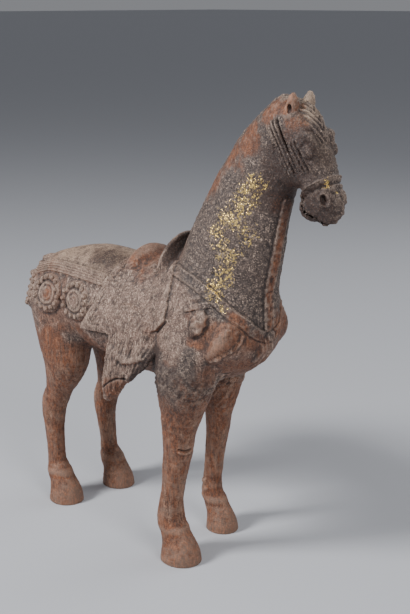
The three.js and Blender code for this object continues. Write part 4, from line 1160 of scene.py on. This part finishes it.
def cord_tree():
    """Cords side by side along a path, each laid on the casting."""
    tree, nodes, given = geometry_tree("cords_on_skin", {
        "Path": "Geometry", "Casting": "Object", "Cords": "Int", "Spacing": "Float", "Radius": "Float",
        "Step": "Float", "Iron": "Material",
    }, "Cords")
    path = nodes.add("GeometryNodeMeshToCurve", {"Mesh": given["Path"]})
    path = nodes.add("GeometryNodeResampleCurve", {"Curve": path, "Length": given["Step"]}, mode="LENGTH")
    copies = tree.nodes.new("GeometryNodeDuplicateElements")
    copies.domain = "SPLINE"
    tree.links.new(path, copies.inputs["Geometry"])
    tree.links.new(given["Cords"], copies.inputs["Amount"])
    facing = nodes.add("GeometryNodeInputNamedAttribute", {"Name": "facing"}, data_type="FLOAT_VECTOR")
    along = nodes.add("GeometryNodeInputTangent")
    across = nodes.add("ShaderNodeVectorMath", {0: along, 1: facing}, operation="CROSS_PRODUCT")
    middle = nodes.times(nodes.plus(given["Cords"], -1.0), 0.5)
    lane = nodes.plus(copies.outputs["Duplicate Index"], nodes.times(middle, -1.0))
    aside = nodes.times(lane, given["Spacing"])
    aside = nodes.add("ShaderNodeVectorMath", {0: across, "Scale": aside}, operation="SCALE")
    laid = nodes.add("GeometryNodeSetPosition", {"Geometry": copies.outputs["Geometry"], "Offset": aside})
    laid = on_casting(nodes, laid, given)
    section = {"Resolution": CORD_SIDES, "Radius": given["Radius"]}
    ring = nodes.add("GeometryNodeCurvePrimitiveCircle", section)
    length = tree.nodes.new("GeometryNodeSplineParameter").outputs["Length"]
    twist = nodes.add("ShaderNodeMath", {0: nodes.times(length, TWIST_RATE)}, operation="SINE")
    thick = nodes.plus(nodes.times(twist, TWIST_DEPTH), 1.0)
    laid = nodes.add("GeometryNodeSetCurveRadius", {"Curve": laid, "Radius": thick})
    solid = nodes.add("GeometryNodeCurveToMesh", {"Curve": laid, "Profile Curve": ring, "Fill Caps": True})
    hand_out(nodes, solid, given)
    return tree


def set_inputs(piece, tree, values):
    """Puts a tree on a piece and sets its inputs, before the piece is first evaluated."""
    maker = piece.modifiers.new("maker", "NODES")
    maker.node_group = tree
    for item in tree.interface.items_tree:
        if item.in_out == "INPUT" and item.name in values:
            maker[item.identifier] = values[item.name]


def path_piece(name, line):
    """A line of points on the skin, which holds the way out of the skin at each of them."""
    piece = new_piece(name, in_frame(line), [(i, i + 1) for i in range(len(line) - 1)], [])
    layer = piece.data.attributes.new("facing", "FLOAT_VECTOR", "POINT")
    layer.data.foreach_set("vector", outward(line).ravel().astype(np.float32))
    return piece


def finish_relief(piece):
    """Makes a piece of relief a plain weathered mesh that belongs to the casting."""
    plain_mesh(piece)
    weather(piece.data)
    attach(piece, "root")


cords = cord_tree()
noseband = []
for angle in range(-125, 126, 5):
    side, front = math.sin(math.radians(angle)), math.cos(math.radians(angle))
    ring = NOSEBAND_START * side * TO_LEFT + NOSEBAND_START * front * OUT_OF_FACE
    noseband.append(POLL + NOSEBAND_PLACE * DOWN_FACE + ring)
noseband = onto_skin(noseband, dressed)
edge_gap = 3.4 * PERCENT
# Bundles: name, path, number of cords, and spacing and radius in metres.
BUNDLES = [
    *[(f"crupper_cords_{n}", strap.line, 5, 0.0035, 0.0012) for n, strap in enumerate(cruppers)],
    *[(f"breast_cords_{n}", strap.line, 2, edge_gap, 0.0006) for n, strap in enumerate(breast_straps)],
    ("nose_cord", noseband, 1, 0.0, 0.0011),
]
for name, line, count, spacing, radius in BUNDLES:
    piece = path_piece(name, line)
    set_inputs(piece, cords, {
        "Casting": casting, "Cords": count, "Spacing": spacing, "Radius": radius, "Step": CORD_STEP,
        "Iron": iron,
    })
    finish_relief(piece)

# Round beads of iron, cast in a ring inside the rim of each medallion. Age has worn them unevenly, so
# that each is a little larger or smaller than the next.
BEADS = 14
BEAD_RING = 0.8 * MEDALLION_RADIUS * PERCENT
BEAD_RADIUS = 0.0036
BEAD_LEAST = 0.72
BEAD_MOST = 1.12
BEAD_SEED = 5


def bead_tree():
    """A ring of beads on the casting round each point."""
    tree, nodes, given = geometry_tree("bead_rings", {
        "Middles": "Geometry", "Casting": "Object", "Beads": "Int", "Ring": "Float", "Radius": "Float",
        "Iron": "Material",
    }, "Beads")
    facing = nodes.add("GeometryNodeInputNamedAttribute", {"Name": "facing"}, data_type="FLOAT_VECTOR")
    turned = nodes.add("FunctionNodeAlignRotationToVector", {"Vector": facing}, axis="Z")
    ring = nodes.add("GeometryNodeMeshCircle", {"Vertices": given["Beads"], "Radius": given["Ring"]})
    rings = nodes.add("GeometryNodeInstanceOnPoints", {
        "Points": given["Middles"], "Instance": ring, "Rotation": turned,
    })
    rings = nodes.add("GeometryNodeRealizeInstances", {"Geometry": rings})
    rings = on_casting(nodes, rings, given)
    bead = nodes.add("GeometryNodeMeshIcoSphere", {"Radius": given["Radius"], "Subdivisions": 3})
    sizes = {2: BEAD_LEAST, 3: BEAD_MOST, "Seed": BEAD_SEED}
    size = nodes.add("FunctionNodeRandomValue", sizes, 1, data_type="FLOAT")
    beads = nodes.add("GeometryNodeInstanceOnPoints", {"Points": rings, "Instance": bead, "Scale": size})
    hand_out(nodes, beads, given)
    return tree


middles = path_piece("medallion_beads", np.array([medallion.centre for medallion in medallions]))
set_inputs(middles, bead_tree(), {
    "Casting": casting, "Beads": BEADS, "Ring": BEAD_RING, "Radius": BEAD_RADIUS, "Iron": iron,
})
finish_relief(middles)

# The studio: a pale grey floor of matt paper under wide soft lamps and a dim even sky, seen from the
# horse's right and slightly above. The floor is a flat sheet that reaches far past the picture.
FLOOR_GREY = (0.46, 0.47, 0.50, 1)
FLOOR_ROUGHNESS = 0.85
FLOOR_REACH = 60
SKY_STRENGTH = 0.5
floor_corners = np.array([(-1, -1, 0), (1, -1, 0), (1, 1, 0), (-1, 1, 0)]) * FLOOR_REACH
floor = new_piece("floor", floor_corners, [], [(0, 1, 2, 3)])
paper = bpy.data.materials.new("studio_paper")
paper.use_nodes = True
paper_inputs = paper.node_tree.nodes["Principled BSDF"].inputs
paper_inputs["Base Color"].default_value = FLOOR_GREY
paper_inputs["Roughness"].default_value = FLOOR_ROUGHNESS
floor.data.materials.append(paper)
floor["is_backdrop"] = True

# Lamps: place, size in metres, power in watts. Each points at the middle of the horse.
LAMPS = [((-0.9, -1.9, 1.9), 0.65, 98), ((1.9, -0.5, 1.4), 0.9, 27), ((0.2, 1.8, 1.7), 1.4, 16)]
target = Vector((0, 0, 0.32))
for place, size, power in LAMPS:
    lamp = bpy.data.lights.new("lamp", "AREA")
    lamp.size = size
    lamp.energy = power
    stand = new_object("lamp", lamp)
    stand.location = place
    stand.rotation_euler = (target - Vector(place)).to_track_quat("-Z", "Y").to_euler()
sky = bpy.data.worlds.new("studio")
sky.use_nodes = True
sky_inputs = sky.node_tree.nodes["Background"].inputs
sky_inputs["Color"].default_value = FLOOR_GREY
sky_inputs["Strength"].default_value = SKY_STRENGTH
bpy.context.scene.world = sky

# The camera: place in metres from the tables' origin, the ways right and up in the picture, and the
# focal length in pixels of an image 614 pixels high.
CAMERA_PLACE = Vector((0.93809, -0.91725, 0.6892)) + Vector((ground_shift[0], ground_shift[1], 0))
CAMERA_RIGHT = Vector((0.70091, 0.71325, 0))
CAMERA_UP = Vector((-0.19173, 0.18842, 0.96319))
FOCAL_PIXELS = 1100
IMAGE_HEIGHT = 614
SENSOR_HEIGHT = 36
camera_data = bpy.data.cameras.new("camera")
camera_data.sensor_fit = "VERTICAL"
camera_data.sensor_height = SENSOR_HEIGHT
camera_data.lens = SENSOR_HEIGHT * FOCAL_PIXELS / IMAGE_HEIGHT
camera = new_object("camera", camera_data)
turn = Matrix((CAMERA_RIGHT, CAMERA_UP, CAMERA_RIGHT.cross(CAMERA_UP))).transposed()
camera.matrix_world = Matrix.Translation(CAMERA_PLACE) @ turn.to_4x4()
bpy.context.scene.camera = camera
